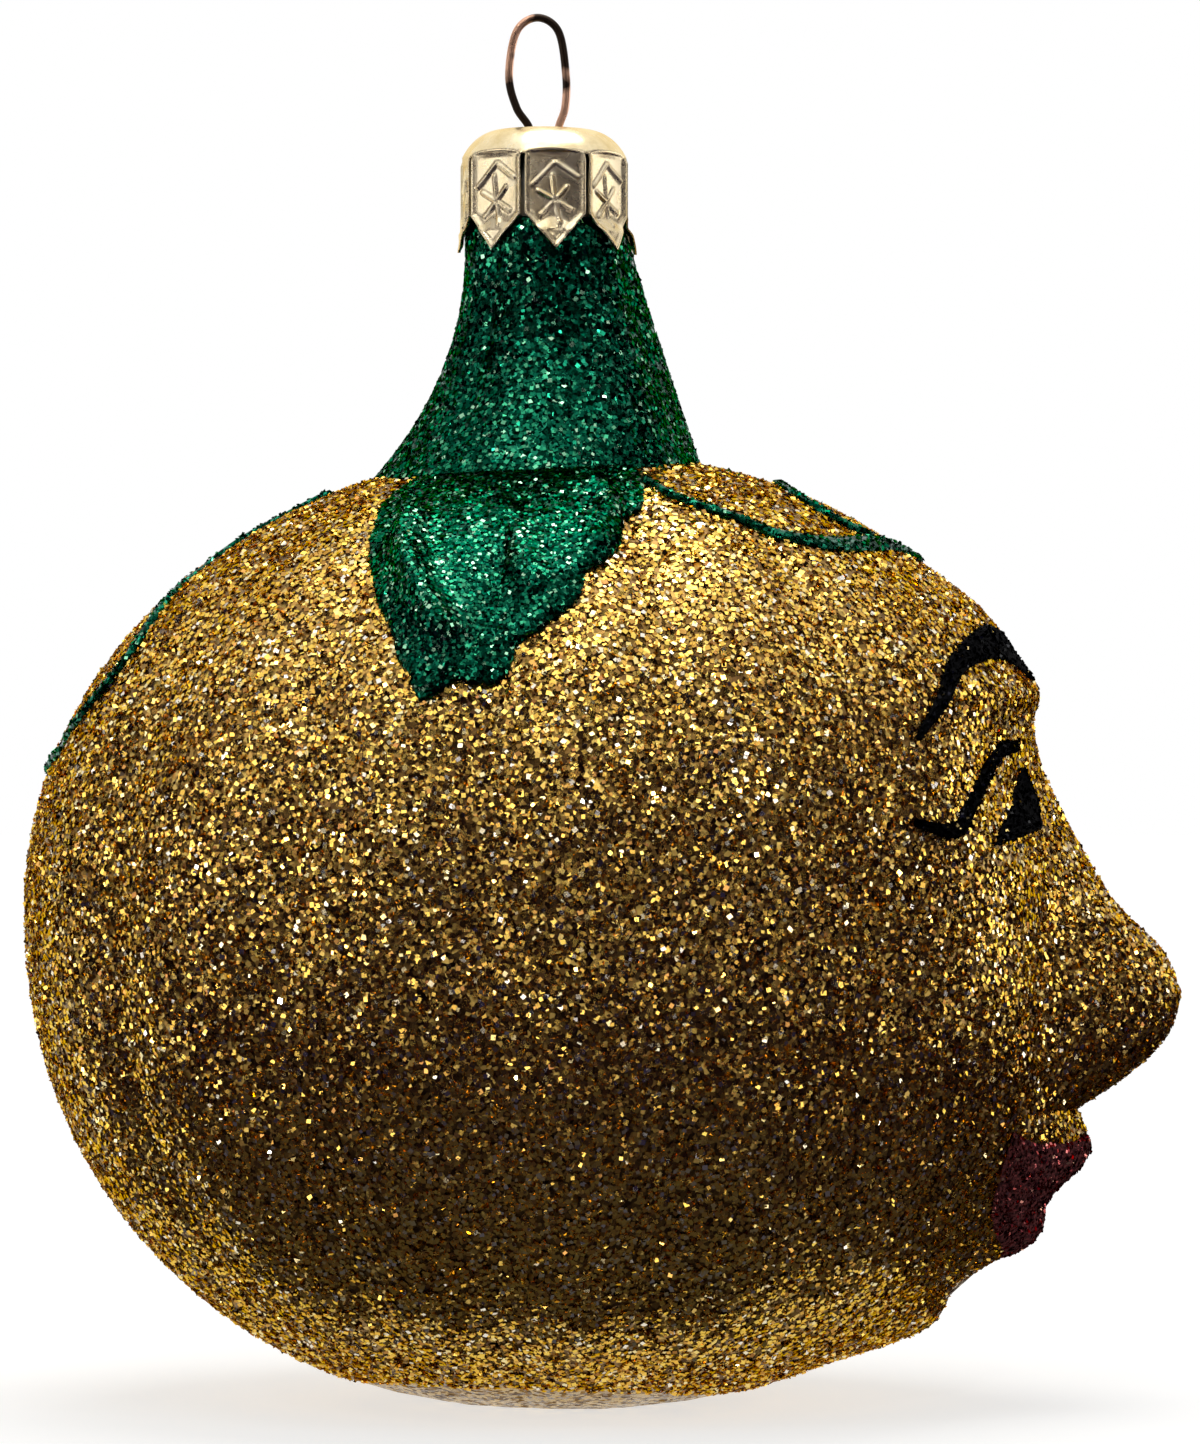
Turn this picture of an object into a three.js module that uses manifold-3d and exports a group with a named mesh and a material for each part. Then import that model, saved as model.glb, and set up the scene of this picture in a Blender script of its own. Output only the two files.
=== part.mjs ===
// A hanging glass ornament: a ribbed pumpkin with a moulded face, a fluted stem, glitter and paint
// on the glass, a stamped metal crown cap over the neck and a sprung wire hanger through the cap.
//
// Millimetres, +Z up. The origin is on the neck axis in the flat underside, and the face looks
// along +X. Places on the pumpkin are a turn (degrees round the neck axis from the face) and a rise
// (degrees above the widest ring, seen from the middle of the body).
import * as THREE from "three";
import { mergeVertices } from "three/addons/utils/BufferGeometryUtils.js";
import Module from "manifold-3d";

const wasm = await Module();
wasm.setup();

// Pumpkin body, without ribs and face
const BODY_FRONT = 51; // neck axis to the front
const BODY_BACK = 52.1; // neck axis to the back
const BODY_SIDE = 43; // neck axis to either side
const BODY_MID = 49.5; // height of the widest ring over the underside
const CROWN_FRONT = 45.4; // widest ring up to the top of the front half
const CROWN_BACK = 45.2;
const BELLY = 49.8; // widest ring down to the bottom point, which the flat underside cuts off
const SQUARE_CROWN = { front: 2.3, back: 2 }; // 2 is an ellipse, more is squarer
const SQUARE_BELLY = { front: 2.5, back: 2.13 };

// Ribs
const LOBES = 14;
const RIB_DEPTH = 1.1;
const FACE_HALF_TURN = 36; // the ribs fade out from here towards the face
const RIB_FADE_TURN = 14;
const RIB_FADE_RADIUS = 25; // and towards the neck axis

// Layers on the glass
const COAT = 0.5; // glitter and its glue
const COAT_GAP = 0.3; // between the coat and the glass
const GLASS = 1; // wall of the blown glass
const TRIM_GAP = 0.35; // between the gold glitter and what lies on it
const PAINT = 0.4;

// Stem and neck
const STEM_FOOT_FRONT = 15.7;
const STEM_FOOT_BACK = 17.2;
const STEM_LENGTH = 23.1; // top of the body up to the end of the green glitter
const STEM_SWEEP = { front: 1.1, back: 2.3 }; // 1 is a straight taper, more is hollower
const FLUTES = LOBES / 2;
const FLUTE_DEPTH = 0.5;
const NECK_R = 7.1;
const NECK_LENGTH = 8.3; // bare glass above the green glitter

// Crown cap
const CAP_R = 8.4;
const CAP_SHEET = 0.3;
const CAP_SHOULDER_R = 2.5;
const CAP_SEAT_GAP = 0.3; // rim of the neck to the inside of the cap's shoulder
const CAP_TAB_GAP = 0.3; // green glitter to the flared tips
const CAP_FLARE_HEIGHT = 3.8; // the part of the skirt that flares
const CAP_HEIGHT = 12.2; // top plate to the tips of the tabs
const TABS = 8;
const TAB_TURN = 8.5; // the middle of the nearest tab, from the side that faces -Y
const TAB_POINT_HEIGHT = 3.3;
const TAB_TIP_HALF = 0.3;
const TAB_SLIT = 0.35;
const TAB_SLIT_TOP = 3.2; // top plate down to the upper end of the slits

// Wire hanger
const WIRE_R = 0.4;
const WIRE_HOLE_GAP = 0.3;
const LEG_X = 1.45; // half the distance between the two legs in the cap
const LOOP_HALF = 2.85; // middle of the wire
const LOOP_HEIGHT = 11.1;
const LOOP_WIDEST = 5.3; // over the cap
const LOOP_LEAN = -0.65; // the loop is bent a little towards the back
const LEG_LENGTH = 25; // below the cap's top plate
const LEG_STRAIGHT = 5;
const LEG_BORE_GAP = 0.3;
const LEG_TIP = 4; // the end of a leg, which turns back in
const LEG_TIP_IN = 0.7;
const WIRE_SIDES = 8; // corners of its section

const STEP = 360 / LOBES / 8; // eighth of a lobe
const VALLEY = 2 * STEP; // turn of one valley, beside the middle of the face
const CROWN_TOP = BODY_MID + CROWN_FRONT;
const STEM_TOP = CROWN_TOP + STEM_LENGTH;
const STEM_TOP_R = NECK_R + COAT_GAP + COAT;
const NECK_TOP = STEM_TOP + NECK_LENGTH;
const CAP_TOP = capTopOver(NECK_TOP);

const sin = (degrees) => Math.sin(THREE.MathUtils.degToRad(degrees));
const cos = (degrees) => Math.cos(THREE.MathUtils.degToRad(degrees));
const { clamp, lerp } = THREE.MathUtils;

// The cap sits with the inside of its round shoulder against the outer edge of the neck's rim.
function capTopOver(rimZ) {
  const reach = CAP_SHOULDER_R - CAP_SHEET - CAP_SEAT_GAP;
  const across = NECK_R - (CAP_R - CAP_SHOULDER_R);
  return rimZ - Math.sqrt(reach ** 2 - across ** 2) + CAP_SHOULDER_R;
}

// A value that goes from one at the face to another at the back of the head.
const along = (turn, { front, back }) => lerp(back, front, (1 + cos(turn)) / 2);

// The turn from the middle of the face, on either side, 0 to 180.
const fromFace = (turn) => Math.abs(THREE.MathUtils.euclideanModulo(turn + 180, 360) - 180);

// Face relief

// Swellings and hollows on both sides of the face: where, how high, and how far they reach.
const SWELLINGS = {
  forehead: { turn: 0, rise: 33, height: 2.2, wide: 26, tall: 9 },
  browRidge: { turn: 0, rise: 24.7, height: 1.6, wide: 30, tall: 2.8 },
  eyeSocket: { turn: 18, rise: 13, height: -2.2, wide: 9, tall: 6 },
  eyeball: { turn: 18, rise: 12, height: 0.9, wide: 5, tall: 3.5 },
  cheek: { turn: 27, rise: -15, height: 1.2, wide: 11, tall: 11 },
  noseBall: { turn: 0, rise: -5, height: 1.7, wide: 5, tall: 3.7 },
  muzzle: { turn: 0, rise: -26.6, height: 3.5, wide: 17, tall: 15.7 },
  upperLip: { turn: 0, rise: -27.2, height: 3.2, wide: 13, tall: 4.6 },
  lowerLip: { turn: 0, rise: -37.5, height: 3.7, wide: 11, tall: 4.2 },
  chin: { turn: 0, rise: -51.2, height: 4.3, wide: 13, tall: 6 },
};
const NOSE = {
  height: 11.4,
  bridgeRise: 16.4,
  tipRise: -9.4,
  footRise: -22.2,
  bridgeHalf: 9, // degrees of turn from its ridge to its side
  wingHalf: 16.5,
  sweep: 1.45, // 1 is a straight ridge, more is hollower
  sharpness: 1.5, // 1 is a round ridge, more is sharper
  fullness: 2.1, // 1 is a straight underside, more is rounder
};

const bell = (distance, reach) => Math.exp(-((distance / reach) ** 2));

function noseHeight(turn, rise) {
  if (rise < NOSE.footRise || rise > NOSE.bridgeRise) return 0;
  const down = clamp((NOSE.bridgeRise - rise) / (NOSE.bridgeRise - NOSE.tipRise), 0, 1);
  const half = lerp(NOSE.bridgeHalf, NOSE.wingHalf, down);
  if (turn >= half) return 0;
  const under = (rise - NOSE.footRise) / (NOSE.tipRise - NOSE.footRise);
  const ridge = rise > NOSE.tipRise ? down ** NOSE.sweep : 1 - (1 - under) ** NOSE.fullness;
  return NOSE.height * ridge * cos((90 * turn) / half) ** NOSE.sharpness;
}

// How far the face stands out from the plain body, along +X.
function faceRelief(turn, rise) {
  const away = fromFace(turn);
  let height = noseHeight(away, rise);
  for (const s of Object.values(SWELLINGS)) {
    height += s.height * bell(away - s.turn, s.wide) * bell(rise - s.rise, s.tall);
  }
  return height;
}

// Outer surface of the body: a superellipse in each upright section, an ellipse from above, with
// rounded lobes between sharp valleys, the face relief, and the flat underside.
function bodyPoint(turn, rise) {
  const reach = cos(turn) > 0 ? BODY_FRONT : BODY_BACK;
  const plan = 1 / Math.hypot(cos(turn) / reach, sin(turn) / BODY_SIDE);
  const above = rise > 0;
  const height = above ? along(turn, { front: CROWN_FRONT, back: CROWN_BACK }) : BELLY;
  const power = along(turn, above ? SQUARE_CROWN : SQUARE_BELLY);
  const far = ((cos(rise) / plan) ** power + (Math.abs(sin(rise)) / height) ** power) ** (-1 / power);
  const radius = far * cos(rise);
  const valley = 1 - Math.abs(sin(((turn - VALLEY) * LOBES) / 2));
  const fade = clamp((fromFace(turn) - FACE_HALF_TURN) / RIB_FADE_TURN, 0, 1);
  const ribbed = radius - RIB_DEPTH * valley * fade * clamp(radius / RIB_FADE_RADIUS, 0, 1);
  const relief = cos(turn) > 0 ? faceRelief(turn, rise) : 0;
  return new THREE.Vector3(
    ribbed * cos(turn) + relief,
    ribbed * sin(turn),
    Math.max(BODY_MID + far * sin(rise), 0),
  );
}

// How the surface runs at a place: millimetres per degree of turn and of rise, and the way out.
function bodyFrame(turn, rise) {
  const half = 0.5;
  const byTurn = bodyPoint(turn + half, rise).sub(bodyPoint(turn - half, rise));
  const byRise = bodyPoint(turn, rise + half).sub(bodyPoint(turn, rise - half));
  const out = new THREE.Vector3().crossVectors(byTurn, byRise).normalize();
  return { byTurn, byRise, out };
}

// A point over the surface, or under it where the height is negative.
function overBody(turn, rise, height) {
  return bodyPoint(turn, rise).addScaledVector(bodyFrame(turn, rise).out, height);
}

// The rise at which the body meets the foot of the stem.
function footRise(turn) {
  const foot = along(turn, { front: STEM_FOOT_FRONT, back: STEM_FOOT_BACK });
  let low = 45;
  let high = 85;
  for (let i = 0; i < 30; i += 1) {
    const middle = (low + high) / 2;
    const point = bodyPoint(turn, middle);
    if (Math.hypot(point.x, point.y) > foot) low = middle;
    else high = middle;
  }
  return low;
}

// A point of the stem: share 0 is its foot and share 1 its top, inset is how far inside.
function stemPoint(turn, share, inset) {
  const foot = bodyPoint(turn, footRise(turn));
  const footR = Math.hypot(foot.x, foot.y);
  const taper = (1 - share) ** along(turn, STEM_SWEEP);
  const flute = 1 - Math.abs(sin(((turn - VALLEY) * FLUTES) / 2));
  const groove = FLUTE_DEPTH * flute * sin(180 * share);
  const radius = lerp(STEM_TOP_R, footR, taper) - groove - inset;
  return new THREE.Vector3(radius * cos(turn), radius * sin(turn), lerp(foot.z, STEM_TOP, share));
}

// Turns of the upright lines: closest across the nose and mouth, then every quarter lobe, or every
// half lobe outside the face where the surface is a plain one.
function turnsOf(plain) {
  const turns = [];
  for (let k = 0; k < 8 * LOBES; k += 1) {
    const turn = VALLEY + k * STEP;
    const away = fromFace(turn);
    const every = away < 20 ? 1 : away < 40 || !plain ? 2 : 4;
    if (k % every === 0) turns.push(turn);
  }
  return turns;
}

// Rises of the rings, which pass through the crests and creases of the face.
const RINGS_BELOW = [-80, -70, -61];
const RINGS_OF_FACE = [-51.5, -44.5, -38, -32, -27, -22, -16, -9.5, -4, 1.5, 7, 12.5, 18, 24.5, 31];
const RINGS_ABOVE = [38, 46, 54, 62];
const STEM_RINGS = [0.12, 0.3, 0.5, 0.75, 1];

function risesOf(plain) {
  const face = [];
  RINGS_OF_FACE.forEach((rise, i) => {
    if (i > 0 && !plain) face.push((RINGS_OF_FACE[i - 1] + rise) / 2);
    face.push(rise);
  });
  return [...RINGS_BELOW, ...face, ...RINGS_ABOVE];
}

// Solids

const geometryOf = (points, index) => {
  const geometry = new THREE.BufferGeometry().setFromPoints(points);
  geometry.setIndex(index);
  return geometry;
};

// A closed solid through rings of equally many points, with a fan over each end.
function ringSolid(rings) {
  const count = rings[0].length;
  const points = rings.flat();
  const index = [];
  for (let i = 0; i + 1 < rings.length; i += 1) {
    for (let j = 0; j < count; j += 1) {
      const a = i * count + j;
      const b = i * count + ((j + 1) % count);
      index.push(a, b, a + count, b, b + count, a + count);
    }
  }
  for (const [ring, first] of [[rings[0], 0], [rings.at(-1), (rings.length - 1) * count]]) {
    const middle = ring.reduce((sum, point) => sum.add(point), new THREE.Vector3());
    const centre = points.push(middle.divideScalar(count)) - 1;
    for (let j = 0; j < count; j += 1) {
      const edge = [first + j, first + ((j + 1) % count)];
      index.push(...(first === 0 ? edge.reverse() : edge), centre);
    }
  }
  return geometryOf(points, index);
}

function manifoldOf(geometry) {
  const bare = geometry.clone();
  bare.deleteAttribute("normal");
  bare.deleteAttribute("uv");
  const merged = mergeVertices(bare, 1e-4);
  return new wasm.Manifold(new wasm.Mesh({
    numProp: 3,
    vertProperties: merged.attributes.position.array,
    triVerts: new Uint32Array(merged.index.array),
  }));
}

function geometryFrom(manifold) {
  const mesh = manifold.getMesh();
  const geometry = new THREE.BufferGeometry();
  geometry.setAttribute("position", new THREE.BufferAttribute(mesh.vertProperties, 3));
  geometry.setIndex(new THREE.BufferAttribute(mesh.triVerts, 1));
  return geometry;
}

const cut = (geometry, ...tools) => geometryFrom(
  tools.reduce((left, tool) => left.subtract(manifoldOf(tool)), manifoldOf(geometry)),
);

// The body, stem and neck as one solid, some way inside the outer surface, up to a height.
function core(inset, top) {
  const turns = turnsOf(true);
  const body = [...risesOf(true).map((rise) => () => rise), footRise];
  return ringSolid([
    ...body.map((riseOf) => turns.map((turn) => overBody(turn, riseOf(turn), -inset))),
    ...STEM_RINGS.map((share) => turns.map((turn) => stemPoint(turn, share, inset))),
    turns.map((turn) => stemPoint(turn, 1, inset).setZ(top)),
  ]);
}

const CORE_UNDER_COAT = core(COAT, STEM_TOP + 1);

// Blown glass with its open neck.
function glassShell() {
  const outside = COAT + COAT_GAP;
  return cut(core(outside, NECK_TOP), core(outside + GLASS, NECK_TOP + 1));
}

// Gold glitter over the whole body, up to the stem.
function goldCoat() {
  const turns = turnsOf(false);
  const body = [...risesOf(false).map((rise) => () => rise), footRise];
  const outside = body.map((riseOf) => turns.map((turn) => bodyPoint(turn, riseOf(turn))));
  return cut(ringSolid(outside), CORE_UNDER_COAT);
}

// Green glitter over the stem, up to the bare neck under the cap.
function stemCoat() {
  const turns = turnsOf(true);
  const rise = new THREE.Vector3(0, 0, COAT_GAP);
  const foot = turns.map((turn) => stemPoint(turn, 0, 0).add(rise));
  const outside = STEM_RINGS.map((share) => turns.map((turn) => stemPoint(turn, share, 0)));
  return cut(ringSolid([foot, ...outside]), CORE_UNDER_COAT);
}

// A piece that lies on the gold glitter. It follows a spine of [turn, rise] places, has half widths
// to the left and right of it at even stations, and swells by its crown in the middle.
function applied({ spine, left, right = left, thick = PAINT, crown = 0, steps, across = 2 }) {
  const line = new THREE.SplineCurve(spine.map((place) => new THREE.Vector2(...place)));
  const widthAt = (widths, share) => {
    const at = share * (widths.length - 1);
    const first = Math.min(Math.floor(at), widths.length - 2);
    return lerp(widths[first], widths[first + 1], at - first);
  };
  const top = [];
  const bottom = [];
  for (let i = 0; i <= steps; i += 1) {
    const share = i / steps;
    const place = line.getPoint(share);
    const way = line.getTangent(share);
    const { byTurn, byRise, out } = bodyFrame(place.x, place.y);
    const ahead = byTurn.clone().multiplyScalar(way.x).addScaledVector(byRise, way.y);
    const aside = new THREE.Vector3().crossVectors(out, ahead).normalize();
    const lean = byTurn.dot(byRise);
    const det = byTurn.lengthSq() * byRise.lengthSq() - lean ** 2;
    const turnPer = (byRise.lengthSq() * byTurn.dot(aside) - lean * byRise.dot(aside)) / det;
    const risePer = (byTurn.lengthSq() * byRise.dot(aside) - lean * byTurn.dot(aside)) / det;
    for (let j = 0; j <= across; j += 1) {
      const shareAcross = j / across;
      const off = lerp(-widthAt(right, share), widthAt(left, share), shareAcross);
      const at = [place.x + turnPer * off, place.y + risePer * off];
      const swell = crown * sin(180 * shareAcross) * sin(180 * share) ** 0.5;
      top.push(overBody(...at, TRIM_GAP + thick + swell));
      bottom.push(overBody(...at, TRIM_GAP));
    }
  }
  return facingOut(plateGeometry(top, bottom, steps, across));
}

// A plate between a top and a bottom grid of points.
function plateGeometry(top, bottom, steps, across) {
  const row = across + 1;
  const under = top.length;
  const index = [];
  const quad = (a, b, c, d) => index.push(a, b, c, a, c, d);
  for (let i = 0; i < steps; i += 1) {
    for (let j = 0; j < across; j += 1) {
      const a = i * row + j;
      quad(a, a + row, a + row + 1, a + 1);
      quad(under + a, under + a + 1, under + a + row + 1, under + a + row);
    }
    const [first, last] = [i * row, i * row + across];
    quad(first, under + first, under + first + row, first + row);
    quad(last, last + row, under + last + row, under + last);
  }
  for (let j = 0; j < across; j += 1) {
    const end = steps * row + j;
    quad(j, j + 1, under + j + 1, under + j);
    quad(end, under + end, under + end + 1, end + 1);
  }
  return geometryOf([...top, ...bottom], index);
}

// The same geometry with its faces pointing out, whichever way its spine ran.
function facingOut(geometry) {
  const [position, index] = [geometry.attributes.position, geometry.index];
  const corner = (i) => new THREE.Vector3().fromBufferAttribute(position, index.getX(i));
  let volume = 0;
  for (let i = 0; i < index.count; i += 3) {
    volume += corner(i).dot(corner(i + 1).cross(corner(i + 2)));
  }
  if (volume < 0) index.array.reverse();
  return geometry;
}

// The same places on the other side of the face.
const mirrored = (spine) => spine.map(([turn, rise]) => [-turn, rise]);

// Leaf, vine and face paint, as they lie on the side that faces -Y

const LEAF = {
  spine: [[-95, 65.5], [-96, 54], [-99, 43], [-103, 34], [-106.5, 27.8]],
  left: [11, 13, 12, 9, 8, 6.5, 5.5, 4.5, 1.6, 0.3],
  right: [11, 13, 13.7, 15.5, 15.5, 13.5, 10.5, 7, 3.5, 0.3],
  thick: 0.6,
  crown: 1.1,
  steps: 14,
  across: 6,
};
const TENDRIL_FRONT = {
  spine: [[-58.4, 61], [-52.6, 56.4], [-42.8, 50.2], [-30.8, 47], [-18, 46.5], [-7, 45.2]],
  left: [0.35, 0.5, 0.6, 1, 0.9, 0.4],
  steps: 18,
};
const TENDRIL_LOOP = {
  spine: [[-16, 49.2], [-19.5, 52], [-18.5, 56], [0, 61], [18.5, 56], [19.5, 52], [16, 49.2]],
  left: [0.35, 0.45, 0.5, 0.45, 0.35],
  steps: 20,
};
const TENDRIL_BACK = {
  spine: [[-168, 62], [-175, 52.5], [-174, 44.5], [-166, 38.5], [-161, 30], [-165, 23], [-174, 18], [-184, 15]],
  left: [0.3, 0.5, 0.6, 0.5, 0.5, 0.6, 0.3],
  steps: 24,
};
const BROW = {
  spine: [[-38, 20.5], [-32, 25.2], [-24, 29.5], [-16, 30.8], [-9, 30], [-4.5, 27.9]],
  left: [0.3, 0.8, 1.3, 1.9, 2.7, 2],
  steps: 12,
};
const LID = {
  spine: [[-40.5, 11], [-36.5, 10], [-33, 10.5], [-29, 13.6], [-24, 16.4], [-18.5, 18.4], [-14, 18.6]],
  left: [0.3, 0.5, 0.6, 0.6, 0.6, 0.5, 0.3],
  steps: 14,
};
const EYE = {
  spine: [[-26, 7.6], [-20, 9.6], [-14, 11.6], [-9.3, 11.2]],
  left: [0.2, 1.5, 2.9, 2],
  steps: 8,
  across: 4,
};
const LIPS = {
  spine: [[-19.5, -30.5], [-10, -32.4], [0, -32.8], [10, -32.4], [19.5, -30.5]],
  left: [4.6, 6, 6.6, 7, 6.6, 6, 4.6], // upper lip
  right: [1, 4, 5.6, 6, 5.6, 4, 1], // lower lip
  steps: 20,
  across: 6,
};

// Crown cap: a drawn cup whose skirt is slit and cut into pointed tabs, which flare at their tips
// over the green glitter.
function crownCap() {
  const tipZ = CAP_TOP - CAP_HEIGHT;
  const flareZ = tipZ + CAP_FLARE_HEIGHT;
  const shareAt = (z) => (z - CROWN_TOP) / (STEM_TOP - CROWN_TOP);
  const tipR = stemPoint(0, shareAt(tipZ), 0).x + CAP_TAB_GAP;
  const shoulder = (radius) => {
    const arc = new THREE.EllipseCurve(
      CAP_R - CAP_SHOULDER_R, CAP_TOP - CAP_SHOULDER_R, radius, radius, 0, Math.PI / 2,
    );
    return arc.getPoints(3);
  };
  const inner = CAP_R - CAP_SHEET;
  const profile = [
    new THREE.Vector2(0, CAP_TOP - CAP_SHEET),
    ...shoulder(CAP_SHOULDER_R - CAP_SHEET).reverse(),
    new THREE.Vector2(inner, flareZ),
    new THREE.Vector2(tipR, tipZ),
    new THREE.Vector2(tipR + CAP_SHEET, tipZ),
    new THREE.Vector2(CAP_R, flareZ),
    ...shoulder(CAP_SHOULDER_R),
    new THREE.Vector2(0, CAP_TOP),
  ];
  const cup = new THREE.LatheGeometry(profile, 6 * TABS).rotateX(Math.PI / 2);
  const tools = [];
  for (let i = 0; i < TABS; i += 1) {
    tools.push(tabGap(tipR + CAP_SHEET, tipZ).rotateZ(
      THREE.MathUtils.degToRad(TAB_TURN - 90 + ((i + 0.5) * 360) / TABS),
    ));
  }
  for (const side of [-1, 1]) {
    const holeR = WIRE_R + WIRE_HOLE_GAP;
    const hole = new THREE.CylinderGeometry(holeR, holeR, 4 * CAP_SHEET, 12);
    tools.push(hole.rotateX(Math.PI / 2).translate(side * LEG_X, 0, CAP_TOP));
  }
  return cut(cup, ...tools);
}

// The slit between two tabs and the notch that points them, as a bar along +X.
function tabGap(tipR, tipZ) {
  const half = tipR * Math.tan(Math.PI / TABS) - TAB_TIP_HALF;
  const pointZ = tipZ + TAB_POINT_HEIGHT;
  const under = 0.5;
  const drop = (half * under) / TAB_POINT_HEIGHT;
  const shape = new THREE.Shape([
    new THREE.Vector2(-half - drop, tipZ - under),
    new THREE.Vector2(half + drop, tipZ - under),
    new THREE.Vector2(TAB_SLIT / 2, pointZ),
    new THREE.Vector2(TAB_SLIT / 2, CAP_TOP - TAB_SLIT_TOP),
    new THREE.Vector2(-TAB_SLIT / 2, CAP_TOP - TAB_SLIT_TOP),
    new THREE.Vector2(-TAB_SLIT / 2, pointZ),
  ]);
  const inside = CAP_R / 2;
  const bar = new THREE.ExtrudeGeometry(shape, { depth: tipR + 1 - inside, bevelEnabled: false });
  return bar.translate(0, 0, inside).rotateX(Math.PI / 2).rotateZ(Math.PI / 2);
}

// Wire hanger: an oval loop over the cap, straight legs through it, and bowed legs that spring
// against the bore of the neck.
function wireHanger() {
  const spread = NECK_R - GLASS - LEG_BORE_GAP - WIRE_R;
  const half = [
    [spread - LEG_TIP_IN, -LEG_LENGTH],
    [spread, LEG_TIP - LEG_LENGTH],
    [spread - 0.4, -LEG_LENGTH * 0.6],
    [LEG_X + 1.2, -LEG_STRAIGHT - 3],
    [LEG_X, -LEG_STRAIGHT],
    [LEG_X, -LEG_STRAIGHT / 2],
    [LEG_X, 0],
    [lerp(LEG_X, LOOP_HALF, 0.7), LOOP_WIDEST * 0.4, LOOP_LEAN * 0.5],
    [LOOP_HALF, LOOP_WIDEST, LOOP_LEAN],
    [LOOP_HALF * 0.78, LOOP_HEIGHT * 0.81, LOOP_LEAN],
  ];
  const leg = (side) => half.map(([x, z, lean = 0]) => (
    new THREE.Vector3(side * x + lean, 0, CAP_TOP + z)
  ));
  const top = new THREE.Vector3(LOOP_LEAN, 0, CAP_TOP + LOOP_HEIGHT);
  const path = new THREE.CatmullRomCurve3([...leg(-1), top, ...leg(1).reverse()]);
  const section = new THREE.Shape(
    Array.from({ length: WIRE_SIDES }, (_, i) => {
      const angle = (360 * i) / WIRE_SIDES;
      return new THREE.Vector2(WIRE_R * cos(angle), WIRE_R * sin(angle));
    }),
  );
  return new THREE.ExtrudeGeometry(section, { extrudePath: path, steps: 64 });
}

// Materials: the glitters are metal flakes in glue, the paints are matt

const finish = (color, roughness, metalness) => (
  new THREE.MeshStandardMaterial({ color, roughness, metalness })
);
const silveredGlass = () => finish(0xd8d4c8, 0.08, 0.6);
const goldGlitter = () => finish(0xa8822f, 0.45, 0.9);
const greenGlitter = () => finish(0x0c6a45, 0.4, 0.8);
const blackPaint = () => finish(0x17181a, 0.6, 0);
const redPaint = () => finish(0x5a1820, 0.55, 0.1);
const paleGoldSheet = () => finish(0xc9b183, 0.3, 1);
const bronzeWire = () => finish(0x6b4430, 0.35, 1);

const group = new THREE.Group();

function add(name, geometry, material) {
  const mesh = new THREE.Mesh(geometry, material);
  mesh.name = name;
  group.add(mesh);
}

// A piece and its twin on the far side of the face.
function addPair(name, piece, material) {
  add(`${name}_right`, applied(piece), material());
  const { left, right = left } = piece;
  const twin = { ...piece, spine: mirrored(piece.spine), left: right, right: left };
  add(`${name}_left`, applied(twin), material());
}

add("glass_shell", glassShell(), silveredGlass());
add("gold_coat", goldCoat(), goldGlitter());
add("stem_coat", stemCoat(), greenGlitter());
addPair("leaf", LEAF, greenGlitter);
addPair("tendril_front", TENDRIL_FRONT, greenGlitter);
add("tendril_loop", applied(TENDRIL_LOOP), greenGlitter());
add("tendril_back", applied(TENDRIL_BACK), greenGlitter());
addPair("brow", BROW, blackPaint);
addPair("lid_line", LID, blackPaint);
addPair("eye", EYE, blackPaint);
add("lips", applied(LIPS), redPaint());
add("crown_cap", crownCap(), paleGoldSheet());
add("wire_hanger", wireHanger(), bronzeWire());

export default group;
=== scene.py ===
# %% [markdown]
# # Glass pumpkin ornament
# This lesson dresses a imported CAD model of a hanging ornament: a blown glass pumpkin with a face, rolled
# in gold and green glitter, painted by hand, and closed by a stamped metal cap with a wire hanger.
# The CAD model is loaded first as a fixed frame.

import bpy
import numpy as np
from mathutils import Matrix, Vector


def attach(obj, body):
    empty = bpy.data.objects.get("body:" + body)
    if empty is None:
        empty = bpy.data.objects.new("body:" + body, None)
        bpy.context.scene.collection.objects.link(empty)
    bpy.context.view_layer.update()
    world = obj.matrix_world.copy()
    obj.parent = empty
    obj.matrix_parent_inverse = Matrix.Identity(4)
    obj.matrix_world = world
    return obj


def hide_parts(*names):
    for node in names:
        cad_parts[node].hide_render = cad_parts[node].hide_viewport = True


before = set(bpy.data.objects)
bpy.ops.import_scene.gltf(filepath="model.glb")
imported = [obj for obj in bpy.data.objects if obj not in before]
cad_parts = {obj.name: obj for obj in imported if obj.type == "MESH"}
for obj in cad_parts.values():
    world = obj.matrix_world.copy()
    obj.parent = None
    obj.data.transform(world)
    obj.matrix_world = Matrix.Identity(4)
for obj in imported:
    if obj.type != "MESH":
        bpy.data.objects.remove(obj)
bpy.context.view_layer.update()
MM = 0.001

# %% [markdown]
# ## The blown body as a function
# A glass blower blows the bubble into a mould, so the whole body is one smooth surface. It is written here
# as a function of two angles: the turn round the neck axis, counted from the middle of the face, and the
# rise above the widest ring. The same formula makes the glass, the glitter bed, and the places of the leaf,
# the vines and the paint, so that each of them lies on the others with no fitting.

# %% Angles in degrees
def dsin(angle):
    """Sine of degrees."""
    return np.sin(np.radians(angle))


def dcos(angle):
    """Cosine of degrees."""
    return np.cos(np.radians(angle))


def from_face(turn):
    """The turn from the middle of the face, on either side, 0 to 180."""
    return np.abs((np.asarray(turn, float) + 180) % 360 - 180)


def along(turn, front, back):
    """A value that goes from front at the face to back behind it, by the cosine of the turn."""
    return back + (front - back) * (1 + dcos(turn)) / 2


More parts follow.
